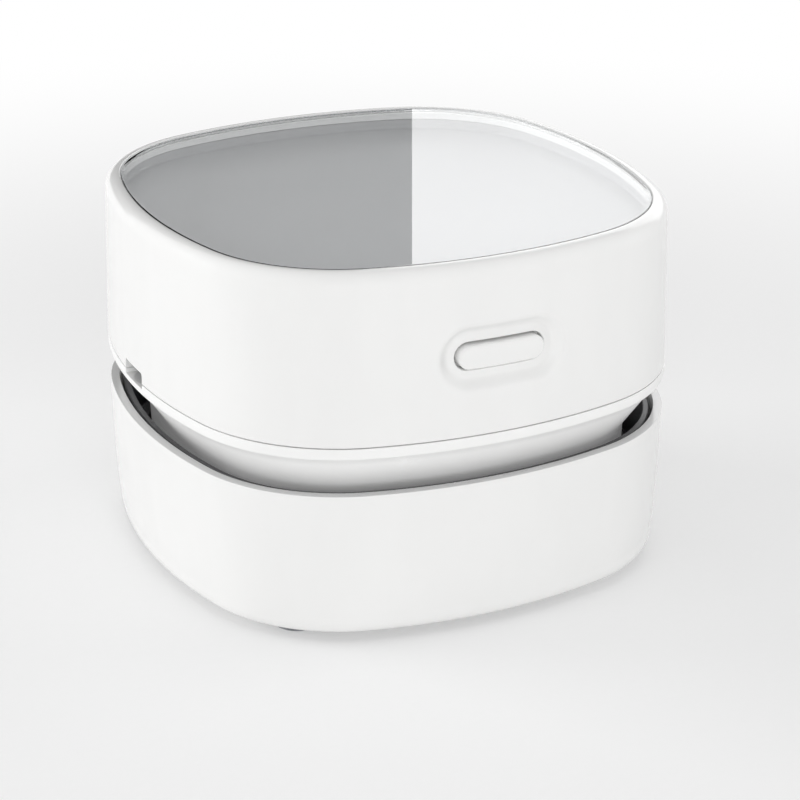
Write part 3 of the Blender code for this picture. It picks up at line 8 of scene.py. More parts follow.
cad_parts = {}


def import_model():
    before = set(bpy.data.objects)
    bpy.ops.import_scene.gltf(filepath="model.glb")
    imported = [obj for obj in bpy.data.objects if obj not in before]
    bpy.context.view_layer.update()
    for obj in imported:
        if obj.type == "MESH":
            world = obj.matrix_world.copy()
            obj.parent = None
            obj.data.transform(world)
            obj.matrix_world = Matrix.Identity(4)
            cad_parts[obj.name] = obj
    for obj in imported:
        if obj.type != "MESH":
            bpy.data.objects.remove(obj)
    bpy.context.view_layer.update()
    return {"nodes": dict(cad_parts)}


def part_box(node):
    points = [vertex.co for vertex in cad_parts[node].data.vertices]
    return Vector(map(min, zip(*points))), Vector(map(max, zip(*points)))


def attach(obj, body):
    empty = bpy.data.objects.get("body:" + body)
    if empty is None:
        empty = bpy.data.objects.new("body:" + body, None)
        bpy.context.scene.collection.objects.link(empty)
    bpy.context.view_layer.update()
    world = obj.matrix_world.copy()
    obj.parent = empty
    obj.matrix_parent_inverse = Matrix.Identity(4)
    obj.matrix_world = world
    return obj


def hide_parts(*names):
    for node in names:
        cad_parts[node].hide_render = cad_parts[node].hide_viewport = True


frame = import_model()
mm = 0.001
bpy.context.scene.view_settings.view_transform = "Standard"
print("frame loaded:", len(frame["nodes"]), "nodes")


class Wire:
    # one output socket; arithmetic on it adds Math nodes
    def __init__(self, finish, socket):
        self.finish = finish
        self.socket = socket

    def maths(self, operation, first, second):
        return self.finish.node("Math", {"operation": operation}, {0: first, 1: second})

    def __add__(self, other):
        return self.maths("ADD", self, other)

    def __sub__(self, other):
        return self.maths("SUBTRACT", self, other)

    def __rsub__(self, other):
        return self.maths("SUBTRACT", other, self)

    def __mul__(self, other):
        return self.maths("MULTIPLY", self, other)

    def __truediv__(self, other):
        return self.maths("DIVIDE", self, other)

    __radd__ = __add__
    __rmul__ = __mul__


class Finish:
    # a material with its Principled shader, and the means to add nodes to it
    def __init__(self, name):
        self.material = bpy.data.materials.new(name)
        self.material.use_nodes = True
        self.tree = self.material.node_tree
        self.shader = self.tree.nodes["Principled BSDF"]
        self.output = self.tree.nodes["Material Output"]
        self.spot = self.node("TexCoord", out="Object")  # metres on the object

    def node(self, kind, settings=None, values=None, out=0):
        made = self.tree.nodes.new("ShaderNode" + kind)
        for key, value in (settings or {}).items():
            setattr(made, key, value)
        for key, value in (values or {}).items():
            self.feed(made.inputs[key], value)
        return Wire(self, made.outputs[out])

    def feed(self, socket, value):
        if isinstance(value, Wire):
            self.tree.links.new(value.socket, socket)
        elif hasattr(socket.default_value, "__len__") and len(socket.default_value) == 4 and len(value) == 3:
            socket.default_value = (*value, 1)
        else:
            socket.default_value = value

    def set(self, **sockets):
        for name, value in sockets.items():
            self.feed(self.shader.inputs[name.replace("_", " ")], value)
        return self

    def noise(self, size, detail=3.0, rough=0.55, at=None):
        # size is the width of a speck in mm
        return self.node("TexNoise", {"noise_dimensions": "3D"},
                         {"Vector": at or self.spot, "Scale": 1 / (size * mm), "Detail": detail, "Roughness": rough})

    def stretched(self, x, y, z):
        return self.node("VectorMath", {"operation": "MULTIPLY"}, {0: self.spot, 1: (x, y, z)})

    def ease(self, value, low, high, start=0.0, end=1.0):
        return self.node("MapRange", {"interpolation_type": "SMOOTHSTEP"},
                         {"Value": value, "From Min": low, "From Max": high, "To Min": start, "To Max": end})

    def tint(self, mask, first, second):
        return self.node("Mix", {"data_type": "RGBA"}, {0: mask, 6: first, 7: second}, out=2)

    def bump(self, height, deep, strength=1.0):
        # deep is the height of the relief in mm
        return self.node("Bump", None, {"Height": height, "Distance": deep * mm, "Strength": strength}, out="Normal")


finishes = {}


def plastic(name, colour, speckle, gloss, glossSpread, relief, reliefSize, coat=0.0, wear=0.0):
    # moulded plastic: faint flow marks in the colour, handling marks in the gloss, a fine surface
    made = Finish(name)
    flow = made.noise(9, 2.0, at=made.stretched(1, 1, 0.35))
    fine = made.noise(reliefSize, 3.0)
    paint = made.tint(made.ease(flow, 0.35, 0.65), [c * (1 - speckle) for c in colour], colour)
    if wear:
        edge = made.ease(made.node("NewGeometry", out="Pointiness"), 0.52, 0.6)
        marks = edge * made.ease(made.noise(0.9, 4.0), 0.45, 0.62)
        paint = made.tint(marks * wear, paint, [min(1, c * 1.12 + 0.02) for c in colour])
    hands = made.ease(made.noise(14, 4.0, 0.6), 0.35, 0.7)
    made.set(Base_Color=paint, Roughness=hands * glossSpread + gloss,
             Normal=made.bump(fine, relief, 0.5))
    made.shader.inputs["Coat Weight"].default_value = coat
    made.shader.inputs["Coat Roughness"].default_value = 0.06
    finishes[name] = made.material
    return made


plastic("glossWhite", (0.845, 0.845, 0.838), 0.012, 0.13, 0.05, 0.004, 0.35, coat=0.25, wear=0.35)
plastic("satinWhite", (0.88, 0.88, 0.873), 0.012, 0.3, 0.07, 0.006, 0.25, wear=0.35)
plastic("trayGrey", (0.475, 0.48, 0.487), 0.008, 0.32, 0.03, 0.001, 0.9)
plastic("darkFrame", (0.034, 0.034, 0.038), 0.12, 0.38, 0.1, 0.015, 0.3, wear=0.3)
plastic("blackPlastic", (0.035, 0.035, 0.038), 0.1, 0.32, 0.08, 0.01, 0.3, wear=0.25)
plastic("plungerGrey", (0.45, 0.46, 0.47), 0.03, 0.35, 0.08, 0.008, 0.25)
plastic("fanGrey", (0.5, 0.52, 0.53), 0.03, 0.32, 0.1, 0.012, 0.3, wear=0.3)
plastic("batteryWrap", (0.10, 0.27, 0.52), 0.06, 0.24, 0.14, 0.03, 1.4, coat=0.3)
plastic("redWire", (0.55, 0.035, 0.03), 0.08, 0.34, 0.08, 0.006, 0.3)
plastic("blackWire", (0.03, 0.03, 0.033), 0.08, 0.34, 0.08, 0.006, 0.3)


def toned(made, mask, tone):
    # goes over to another tone where the mask says so
    paint = Wire(made, made.shader.inputs["Base Color"].links[0].from_socket)
    made.set(Base_Color=made.tint(mask, paint, (tone,) * 3))


def whiteShells():
    # tones fitted to the photograph: painted shade greys the rim top of the lower shell under the flange, and painted
    # shade greys the chassis round the socket
    lowerShell = plastic("lowerWhite", (0.845, 0.845, 0.838), 0.012, 0.13, 0.05, 0.004, 0.35, coat=0.25, wear=0.35)
    height = lowerShell.node("SeparateXYZ", None, {0: lowerShell.spot}, out="Z")
    # painted shade: the rim top, shaded by the upper unit's flange above it, is greyed to 0.56
    toned(lowerShell, lowerShell.ease(height, 25.19 * mm, 25.29 * mm), 0.56)
    made = plastic("chassisWhite", (0.88, 0.88, 0.873), 0.012, 0.3, 0.07, 0.006, 0.25, wear=0.35)
    # painted shade: the chassis within about 4 mm of the socket pocket is greyed to 0.6, for the shade inside the port
    # notch
    away = made.node("VectorMath", {"operation": "DISTANCE"},
                     {0: made.spot, 1: (-38.3 * mm, 1.5 * mm, 33 * mm)}, out="Value")
    toned(made, made.ease(away, 4.1 * mm, 4.6 * mm, 1.0, 0.0), 0.6)
    height = made.node("SeparateXYZ", None, {0: made.spot}, out="Z")
    low = made.ease(height, 29.4 * mm, 30.8 * mm)  # a glow in place of light that the slot doesn't get
    made.set(Emission_Color=made.tint(low, (1, 1, 1), (0, 0, 0)))
    made.shader.inputs["Emission Strength"].default_value = 0.1


whiteShells()


def clearPlastic(name):
    # clear acrylic; light for what lies under it passes straight through
    made = Finish(name)
    smears = made.ease(made.noise(16, 2.0, 0.5), 0.5, 0.75)
    made.set(Base_Color=made.tint(made.noise(20, 1.0), (0.965, 0.972, 0.975), (0.985, 0.988, 0.99)),
             Roughness=smears * 0.006 + 0.004,
             Normal=made.bump(made.noise(18, 0.0), 0.0006, 0.2))
    made.shader.inputs["Transmission Weight"].default_value = 1.0
    made.shader.inputs["IOR"].default_value = 1.49
    path = made.node("LightPath", out="Is Shadow Ray")
    spread = made.node("LightPath", out="Is Diffuse Ray")
    clear = made.node("BsdfTransparent", None, {"Color": (0.97, 0.975, 0.98)})
    body = Wire(made, made.shader.outputs[0])
    either = made.node("Math", {"operation": "MAXIMUM"}, {0: path, 1: spread})
    both = made.node("MixShader", None, {0: either, 1: body, 2: clear})
    made.tree.links.new(both.socket, made.output.inputs["Surface"])
    finishes[name] = made.material


clearPlastic("clearAcrylic")


def metal(name, colour, gloss, grain, grainDeep, along="z"):
    # brushed or plated metal with fine lines and dull patches
    made = Finish(name)
    stretch = {"z": (1, 1, 0.04), "x": (0.04, 1, 1), "round": (1, 1, 1)}[along]
    lines = made.noise(grain, 5.0, 0.65, at=made.stretched(*stretch))
    dull = made.ease(made.noise(3.5, 4.0), 0.4, 0.7)
    made.set(Base_Color=made.tint(dull, colour, [c * 0.86 for c in colour]),
             Roughness=lines * 0.16 + dull * 0.08 + gloss,
             Normal=made.bump(lines, grainDeep, 0.6))
    made.shader.inputs["Metallic"].default_value = 1.0
    finishes[name] = made.material


metal("plainSteel", (0.66, 0.66, 0.67), 0.2, 0.18, 0.004)
metal("screwSteel", (0.52, 0.52, 0.54), 0.24, 0.14, 0.003, "round")
metal("magnetIron", (0.17, 0.17, 0.18), 0.42, 0.3, 0.012, "round")
metal("copperWire", (0.78, 0.41, 0.22), 0.24, 0.16, 0.01, "x")


def softRubber(name, colour, deep):
    made = Finish(name)
    grain = made.noise(0.22, 5.0, 0.7)
    bloom = made.ease(made.noise(5, 4.0), 0.42, 0.75)
    made.set(Base_Color=made.tint(bloom * 0.5, colour, [c * 1.5 + 0.01 for c in colour]),
             Roughness=bloom * 0.12 + 0.62, Normal=made.bump(grain, deep, 0.7))
    made.shader.inputs["Sheen Weight"].default_value = 0.08
    finishes[name] = made.material


softRubber("sealRubber", (0.045, 0.045, 0.048), 0.02)
softRubber("damperRubber", (0.035, 0.035, 0.038), 0.03)


def felted(name, colour, thread, deep, sheen):
    # pressed fibres: threads running every way, with painted shade darkening the hollows between them
    made = Finish(name)
    warp = made.noise(thread * 3, 2.0)
    bent = made.node("VectorMath", {"operation": "MULTIPLY_ADD"},
                     {0: made.node("CombineXYZ", None, {0: warp, 1: warp}), 1: (thread * 3 * mm,) * 3, 2: made.spot})
    first = made.noise(thread, 5.0, 0.72, at=made.node("VectorMath", {"operation": "MULTIPLY"}, {0: bent, 1: (0.22, 1, 1)}))
    second = made.noise(thread, 5.0, 0.72, at=made.node("VectorMath", {"operation": "MULTIPLY"}, {0: bent, 1: (1, 0.22, 1)}))
    fibres = made.node("Math", {"operation": "MAXIMUM"}, {0: first, 1: second})
    # painted shade: the colour goes darker where the fibre relief is low
    hollow = made.ease(fibres, 0.4, 0.66)
    made.set(Base_Color=made.tint(hollow, [c * 0.62 for c in colour], [min(1, c * 1.12) for c in colour]),
             Roughness=fibres * 0.1 + 0.82, Normal=made.bump(fibres, deep, 0.9))
    made.shader.inputs["Sheen Weight"].default_value = sheen
    made.shader.inputs["Sheen Roughness"].default_value = 0.4
    finishes[name] = made.material


felted("filterFleece", (0.74, 0.745, 0.735), 0.35, 0.08, 0.25)
felted("padFelt", (0.27, 0.28, 0.3), 0.3, 0.12, 0.35)


def bristleNylon():
    made = Finish("bristleNylon")
    strand = made.ease(made.noise(0.5, 2.0, at=made.stretched(1, 1, 0.08)), 0.35, 0.65)
    made.set(Base_Color=made.tint(strand, (0.05, 0.05, 0.055), (0.14, 0.14, 0.15)),
             Roughness=strand * 0.15 + 0.4, Normal=made.bump(made.noise(0.1, 2.0, at=made.stretched(1, 1, 0.1)), 0.004, 0.5))
    finishes["bristleNylon"] = made.material


bristleNylon()


def circuitBoard():
    # green lacquer over copper tracks, with the glass weave just showing
    made = Finish("circuitBoard")
    weaveX = made.node("TexWave", {"wave_type": "BANDS", "bands_direction": "X"}, {"Vector": made.spot, "Scale": 420.0, "Distortion": 0.4})
    weaveZ = made.node("TexWave", {"wave_type": "BANDS", "bands_direction": "Z"}, {"Vector": made.spot, "Scale": 420.0, "Distortion": 0.4})
    cells = made.node("TexVoronoi", {"distance": "CHEBYCHEV", "feature": "F1"}, {"Vector": made.spot, "Scale": 330.0}, out="Distance")
    tracks = made.ease(cells, 0.32, 0.38)
    cloth = weaveX * weaveZ
    lacquer = made.tint(tracks, (0.03, 0.17, 0.075), (0.055, 0.25, 0.115))
    made.set(Base_Color=made.tint(cloth * 0.25, lacquer, (0.09, 0.3, 0.16)),
             Roughness=cloth * 0.08 + 0.26, Normal=made.bump(tracks + cloth * 0.3, 0.02, 0.5))
    finishes["circuitBoard"] = made.material


circuitBoard()
print("finishes made:", len(finishes))


outline = {"halfWidth": 42.5, "sideRadius": 81.6, "cornerRadius": 26.6}
sideCentre = outline["halfWidth"] - outline["sideRadius"]
reachGap = outline["sideRadius"] - outline["cornerRadius"]
cornerCentre = (math.sqrt(2 * reachGap ** 2 - sideCentre ** 2) + sideCentre) / 2
seamAngle = math.atan2(cornerCentre, cornerCentre - sideCentre)


def stationsRound(sideSteps=16, cornerSteps=24, frontPitch=0, frontReach=0, leftPitch=0, leftReach=0):
    # arc centre, radius and direction of each place round the outline; a side can be finer at its middle
    made = []
    for quarter in range(4):
        pitch, reach = {3: (frontPitch, frontReach), 2: (leftPitch, leftReach)}.get(quarter, (0, 0))
        angles = [seamAngle * (2 * i / sideSteps - 1) for i in range(sideSteps)]
        if pitch:
            fine = math.asin(reach / outline["sideRadius"])
            count = round(2 * reach / pitch)
            outer = [a for a in angles if abs(a) > fine * 1.03]
            angles = sorted(outer + [fine * (2 * i / count - 1) for i in range(count + 1)])
        arcs = [(sideCentre, 0, outline["sideRadius"], a) for a in angles]
        arcs += [(cornerCentre, cornerCentre, outline["cornerRadius"],
                  seamAngle + (math.pi / 2 - 2 * seamAngle) * i / cornerSteps) for i in range(cornerSteps)]
        turn = Matrix.Rotation(quarter * math.pi / 2, 2)
        for x, y, radius, angle in arcs:
            centre = turn @ Vector((x, y))
            way = turn @ Vector((math.cos(angle), math.sin(angle)))
            made.append((centre, radius, way))
    return made


def at(station, inset, z):
    centre, radius, way = station
    spot = centre + way * (radius - inset)
    return Vector((spot.x, spot.y, z))


def ring(stations, inset, z):
    return [at(s, inset, z) for s in stations]


def roundRing(stations, radius, z, base=20.0):
    # a circle whose points lie in the same directions as the outline's
    made = []
    for s in stations:
        way = at(s, base, 0).xy.normalized()
        made.append(Vector((way.x * radius, way.y * radius, z)))
    return made


def wallAt(x, inset):
    # how far the front wall lies from the middle, at x
    return sideCentre + math.sqrt((outline["sideRadius"] - inset) ** 2 - x * x)


def arcPoints(centre, radii, start, end, steps):
    # a quarter or other part of an ellipse in the profile plane, angles in degrees
    made = []
    for i in range(steps + 1):
        a = math.radians(start + (end - start) * i / steps)
        made.append((centre[0] + radii[0] * math.cos(a), centre[1] + radii[1] * math.sin(a)))
    return made


def fullArc(start, end, steps, fullness):
    # a rounded shoulder from start, which it leaves upright, to end, which it meets level
    made = []
    for i in range(steps + 1):
        a = math.pi / 2 * i / steps
        across = 1 - math.cos(a) ** (2 / fullness) if i < steps else 1
        made.append((start[0] + (end[0] - start[0]) * across, start[1] + (end[1] - start[1]) * math.sin(a) ** (2 / fullness)))
    return made


def smoothCurve(points, steps):
    # a curve through all the points, without corners
    made = []
    full = [points[0], *points, points[-1]]
    for a, b, c, d in zip(full, full[1:], full[2:], full[3:]):
        for i in range(steps):
            t = i / steps
            made.append(tuple(0.5 * (2 * q + (r - p) * t + (2 * p - 5 * q + 4 * r - s) * t * t
                                     + (3 * q - p - 3 * r + s) * t ** 3) for p, q, r, s in zip(a, b, c, d)))
    return made + [tuple(points[-1])]


def loft(loops, closed=True, capStart=False, capEnd=False):
    # quads between loops of equal length; closed also joins the last loop to the first
    mesh = bmesh.new()
    rows = [[mesh.verts.new(p * mm) for p in loop] for loop in loops]
    pairs = list(zip(rows, rows[1:])) + ([(rows[-1], rows[0])] if closed else [])
    count = len(rows[0])
    for lower, upper in pairs:
        for i in range(count):
            j = (i + 1) % count
            mesh.faces.new((lower[i], lower[j], upper[j], upper[i]))
    if capStart:
        mesh.faces.new(list(reversed(rows[0])))
    if capEnd:
        mesh.faces.new(rows[-1])
    bmesh.ops.remove_doubles(mesh, verts=mesh.verts, dist=1e-7)
    bmesh.ops.recalc_face_normals(mesh, faces=mesh.faces)
    return mesh


def turnedMesh(profile, steps=48, centre=(0, 0), startAngle=0.0):
    # profile is radius and height; radius 0 closes an end
    loops = []
    for radius, z in profile:
        loops.append([Vector((centre[0] + radius * math.cos(startAngle + 2 * math.pi * i / steps),
                              centre[1] + radius * math.sin(startAngle + 2 * math.pi * i / steps), z)) for i in range(steps)])
    return loft(loops, closed=profile[0][0] > 0 and profile[-1][0] > 0)


def softBox(low, high, edge=0.2, steps=2):
    mesh = bmesh.new()
    low, high = Vector(low) * mm, Vector(high) * mm
    size, middle = high - low, (high + low) / 2
    bmesh.ops.create_cube(mesh, size=1, matrix=Matrix.Translation(middle) @ Matrix.Diagonal((*size, 1)))
    if edge:
        bmesh.ops.bevel(mesh, geom=mesh.edges[:], offset=edge * mm, segments=steps, profile=0.5, affect="EDGES")
    return mesh


def stadiumLoop(length, width, count=12, straight=16):
    # points of an oblong with round ends in x and z, from the right end round
    half, radius = (length - width) / 2, width / 2
    made = []
    for side in (1, -1):
        made += [(side * (half + radius * math.cos(a)), side * radius * math.sin(a))
                 for a in [math.pi * (i / count - 0.5) for i in range(count)]]
        made += [(side * (half - 2 * half * i / straight), side * radius) for i in range(straight)]
    return made


def bowedLoop(length, width, z, inset, steps=(12, 16)):
    # the oblong on the front wall, bowed as the wall is; inset may be a number or depend on x
    return [Vector((x, -wallAt(x, inset), z + up)) for x, up in stadiumLoop(length, width, *steps)]


def poured(mesh, other):
    # adds another mesh's forms to this one
    held = bpy.data.meshes.new("held")
    other.to_mesh(held)
    mesh.from_mesh(held)
    bpy.data.meshes.remove(held)
    other.free()
    return mesh


def shaded(data, sharp=32):
    data.polygons.foreach_set("use_smooth", [True] * len(data.polygons))
    data.set_sharp_from_angle(angle=math.radians(sharp))
    edges = {tuple(sorted(pair)) for face in data.polygons if len(face.vertices) > 20 for pair in face.edge_keys}
    for edge in data.edges:  # a wide flat cap keeps its own flat shading
        if tuple(sorted(edge.vertices)) in edges:
            edge.use_edge_sharp = True


def piece(name, mesh, finish, body=None, nodes=(), sharp=32):
    data = bpy.data.meshes.new(name)
    mesh.to_mesh(data)
    mesh.free()
    made = bpy.data.objects.new(name, data)
    bpy.context.scene.collection.objects.link(made)
    data.materials.append(finishes[finish])
    shaded(data, sharp)
    if body:
        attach(made, body)
        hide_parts(*nodes)
    return made


def carve(target, *tools, operation="DIFFERENCE", sharp=32):
    # exact Booleans, applied at once
    for tool in tools:
        mesh = bpy.data.meshes.new("tool")
        bmesh.ops.recalc_face_normals(tool, faces=tool.faces)
        tool.to_mesh(mesh)
        tool.free()
        cutter = bpy.data.objects.new("tool", mesh)
        bpy.context.scene.collection.objects.link(cutter)
        change = target.modifiers.new("cut", "BOOLEAN")
        change.object, change.operation, change.solver = cutter, operation, "EXACT"
        graph = bpy.context.evaluated_depsgraph_get()
        after = bpy.data.meshes.new_from_object(target.evaluated_get(graph))
        target.modifiers.clear()
        before, target.data = target.data, after
        after.name = target.name
        bpy.data.meshes.remove(before)
        bpy.data.objects.remove(cutter)
        bpy.data.meshes.remove(mesh)
    shaded(target.data, sharp)
    return target


lower = {
    "underside": 1.6, "padPlace": 27.5, "padRecess": 4.3, "padTop": 2.2,
}


def lowerHousing():
    s = lower
    around = stationsRound(20, 28)
    bulge = smoothCurve([(0.75, 4.0), (0.35, 8.2), (0.057, 13.4), (-0.153, 19.1), (-0.3, 25.15)], 4)
    rimRound = arcPoints((-0.15, 25.15), (-0.15, 0.15), 0, 90, 4)
    foot = fullArc((0.75, 4.0), (2.0, 1.6), 9, 2.2)
    profile = [(1.12, 25.22), (1.1, 25.28), (1.04, 25.3)]  # inner edge of the rim
    profile += reversed(rimRound)
    profile += [(inset, z) for inset, z in reversed(bulge[:-1])]
    profile += foot[1:]
    profile += [(3.5, 1.6), (18.6, 1.6)]
    profile += [(18.98, 1.7), (19.1, 2.0), (19.1, 4.6), (19.25, 4.82), (19.55, 4.9)]
    loops = [ring(around, inset, z) for inset, z in profile]
    for radius, z in ((11.5, 4.9), (11.12, 5.02), (11.0, 5.4), (11.0, 7.5), (11.25, 7.8), (12.15, 7.8),
                      (12.4, 7.55), (12.4, 6.9), (12.8, 6.5)):
        loops.append(roundRing(around, radius, z))
    inner = [(17.9, 6.5), (17.6, 6.4), (17.5, 6.1), (17.45, 4.0), (17.1, 3.6), (3.9, 3.6), (3.3, 3.78), (2.96, 4.2), (2.9, 4.8),
             (2.9, 12.45), (2.8, 12.66), (2.6, 12.7), (1.55, 12.7), (1.49, 12.85)]
    loops += [ring(around, inset, z) for inset, z in inner]
    made = piece("lowerHousing", loft(loops), "lowerWhite", "dust_base", ["lower_housing"])
    spots = [(x * s["padPlace"], y * s["padPlace"]) for x in (1, -1) for y in (1, -1)]
    wells = [turnedMesh([(0, s["padTop"]), (s["padRecess"] - 0.15, s["padTop"]), (s["padRecess"], s["padTop"] - 0.15),
                         (s["padRecess"], s["underside"] + 0.12), (s["padRecess"] + 0.2, s["underside"] - 0.1),
                         (s["padRecess"] + 0.2, 0.5), (0, 0.5)], 40, spot) for spot in spots]
    carve(made, *wells)
    return made


lowerHousing()
print("lower housing made")


glide = {"places": ((27.5, 27.5), (-27.5, 27.5), (-27.5, -27.5), (27.5, -27.5)), "radius": 4.0, "top": 1.9, "edge": 0.45}


def glidePads():
    g = glide
    for number, (x, y) in enumerate(g["places"], 1):
        rand = random.Random(40 + number)
        r, e = g["radius"], g["edge"]
        foot = arcPoints((r - e, e), (e, e), -90, 0, 5)
        profile = [(0, 0.0), (1.4, 0.0), (2.7, 0.0)] + foot + [(r, g["top"] - 0.1), (r - 0.1, g["top"]), (0, g["top"])]
        mesh = turnedMesh(profile, 56, (x, y))
        for vert in mesh.verts:  # felt never has a clean cut edge
            out = (vert.co.xy - Vector((x, y)) * mm)
            if out.length > (r - e) * mm:
                vert.co.xy -= out.normalized() * rand.random() * 0.07 * mm
        piece(f"glidePad{number}", mesh, "padFelt", "dust_base", [f"glide_pad_{number}"], 50)


brush = {"length": 30.0, "middle": 19.58, "width": 3.4, "backing": (3.1, 4.6), "tip": 0.3,
         "perRow": 62, "rows": 6, "thick": 0.17, "splay": 0.55}


def brushStrips():
    b = brush
    sides = {"right": 0, "back": 90, "left": 180, "front": 270}
    for side, angle in sides.items():
        rand = random.Random(angle + 7)
        half, low, high = b["length"] / 2, *b["backing"]
        mid, wide = b["middle"], b["width"] / 2
        mesh = softBox((mid - wide, -half, low), (mid + wide, half, high), 0.25, 3)
        for flange in (-1, 1):  # the folded lips that grip the strands
            edge = mid + flange * (wide - 0.35)
            poured(mesh, softBox((edge - 0.35, -half + 0.2, low - 0.35), (edge + 0.35, half - 0.2, low + 0.3), 0.16, 2))
        for row in range(b["rows"]):
            across = (row + 0.5) / b["rows"] * 2 - 1
            for column in range(b["perRow"]):
                along = ((column + 0.5 + 0.35 * (row % 2) - 0.17) / b["perRow"] * 2 - 1) * (half - 0.5)
                root = Vector((mid + across * (wide - 0.75) + rand.uniform(-0.1, 0.1), along + rand.uniform(-0.1, 0.1), low + 0.15))
                lean = Vector((across * b["splay"] * 0.55 + rand.gauss(0, 0.07), rand.gauss(0, 0.09), 0))
                end = Vector((root.x + lean.x, max(-half, min(half, root.y + lean.y)), b["tip"] + rand.uniform(0, 0.22)))
                end.x = max(mid - wide, min(mid + wide, end.x))
                rows = []
                for share, girth in ((0, 1), (0.5, 0.95), (0.85, 0.8), (1, 0.35)):
                    bend = Vector((lean.x, lean.y, 0)) * (share * share - share) * 0.35
                    spot = root.lerp(end, share) + bend
                    rows.append([spot + Vector((math.cos(a) * b["thick"] * girth, math.sin(a) * b["thick"] * girth, 0))
                                 for a in [2 * math.pi * i / 5 + row for i in range(5)]])
                poured(mesh, loft(rows, closed=False, capStart=True, capEnd=True))
        mesh.transform(Matrix.Rotation(math.radians(angle), 4, "Z"))
        piece(f"brush{side.capitalize()}", mesh, "bristleNylon", "dust_base", [f"brush_{side}"], 50)


glidePads()
brushStrips()
print("pads and brushes made")


filterUnit = {"pitch": 15.0, "gridLow": 11.4, "gridTop": 12.4, "fleece": 12.3}


def filterFrame():
    around = stationsRound(16, 20)
    profile = [(1.95, 13.0), (1.8, 13.15), (1.8, 24.55), (1.95, 24.7), (2.65, 24.7), (2.8, 24.55), (2.8, 15.3), (3.1, 15.0),
               (4.5, 15.0), (4.5, 16.85), (4.65, 17.0), (5.55, 17.0), (5.7, 16.85),
               (5.7, 14.0), (7.4, 14.0), (7.4, 14.88), (7.52, 15.0), (11.85, 15.0), (12.0, 14.85),
               (12.0, 11.55), (11.85, 11.4), (10.95, 11.4), (10.8, 11.55), (10.8, 13.0)]
    mesh = loft([ring(around, inset, z) for inset, z in profile])
    low, top = filterUnit["gridLow"], filterUnit["gridTop"]
    for step in (-1, 0, 1):
        across = step * filterUnit["pitch"]
        reach = wallAt(across, 11.6)
        poured(mesh, softBox((-reach, across - 0.5, low), (reach, across + 0.5, top), 0.18, 2))
        poured(mesh, softBox((across - 0.5, -reach, low), (across + 0.5, reach, top - 0.05), 0.18, 2))
    piece("filterFrame", mesh, "darkFrame", "filter", ["filter_frame"])


def filterPleats():
    # one folded sheet of fleece, cut to the opening
    f = filterUnit
    inset, count = f["fleece"], 23
    reach = outline["halfWidth"] - inset
    mesh = bmesh.new()
    folds = []
    width = 2 * (reach - 0.5) / count
    for i in range(count * 6 + 1):
        share = i / 6
        x = -(reach - 0.5) + share * width
        wave = 0.5 - 0.5 * math.cos(2 * math.pi * share)
        folds.append((x, 13.15 + 1.72 * wave ** 0.8))
    rows = []
    shares, thick = (-1, -0.5, 0, 0.5, 1), 0.42
    for x, top in folds:
        y = edgeAt(abs(x), inset) - 0.1
        section = [(t, top) for t in shares] + [(t, top - thick) for t in reversed(shares)]
        rows.append([mesh.verts.new(Vector((x, y * t, z)) * mm) for t, z in section])
    for a, b in zip(rows, rows[1:]):
        for i in range(10):
            j = (i + 1) % 10
            mesh.faces.new((a[i], a[j], b[j], b[i]))
    mesh.faces.new(rows[0][::-1])
    mesh.faces.new(rows[-1])
    bmesh.ops.recalc_face_normals(mesh, faces=mesh.faces)
    piece("filterPleats", mesh, "filterFleece", "filter", ["filter_pad"], 60)


def edgeAt(x, inset):
    # y of the outline at x, in the quarter where both are positive
    side = outline["sideRadius"] - inset
    corner = outline["cornerRadius"] - inset
    if x <= corner * math.sin(seamAngle) + cornerCentre and x <= side * math.sin(seamAngle):
        return sideCentre + math.sqrt(side ** 2 - x * x)
    if x < cornerCentre + corner * math.cos(seamAngle):
        return cornerCentre + math.sqrt(max(0, corner ** 2 - (x - cornerCentre) ** 2))
    return math.sqrt(max(0, side ** 2 - (x - sideCentre) ** 2))


def sealRing():
    around = stationsRound(16, 20)
    middle, high = 6.55, 14.55
    section = arcPoints((middle, high), (0.53, 0.4), 0, 342, 19)
    piece("sealRing", loft([ring(around, inset, z) for inset, z in section]), "sealRubber", "filter", ["seal_ring"], 60)


filterFrame()
filterPleats()
sealRing()
print("filter made")


chassisSize = {"vents": 5, "ventWide": 5.4, "ventPitch": 7.8, "ventLow": 17.6, "ventHigh": 24.1,
               "column": 3.0, "columnPlace": 24.8, "port": (1.5, 3.9, 32.4)}


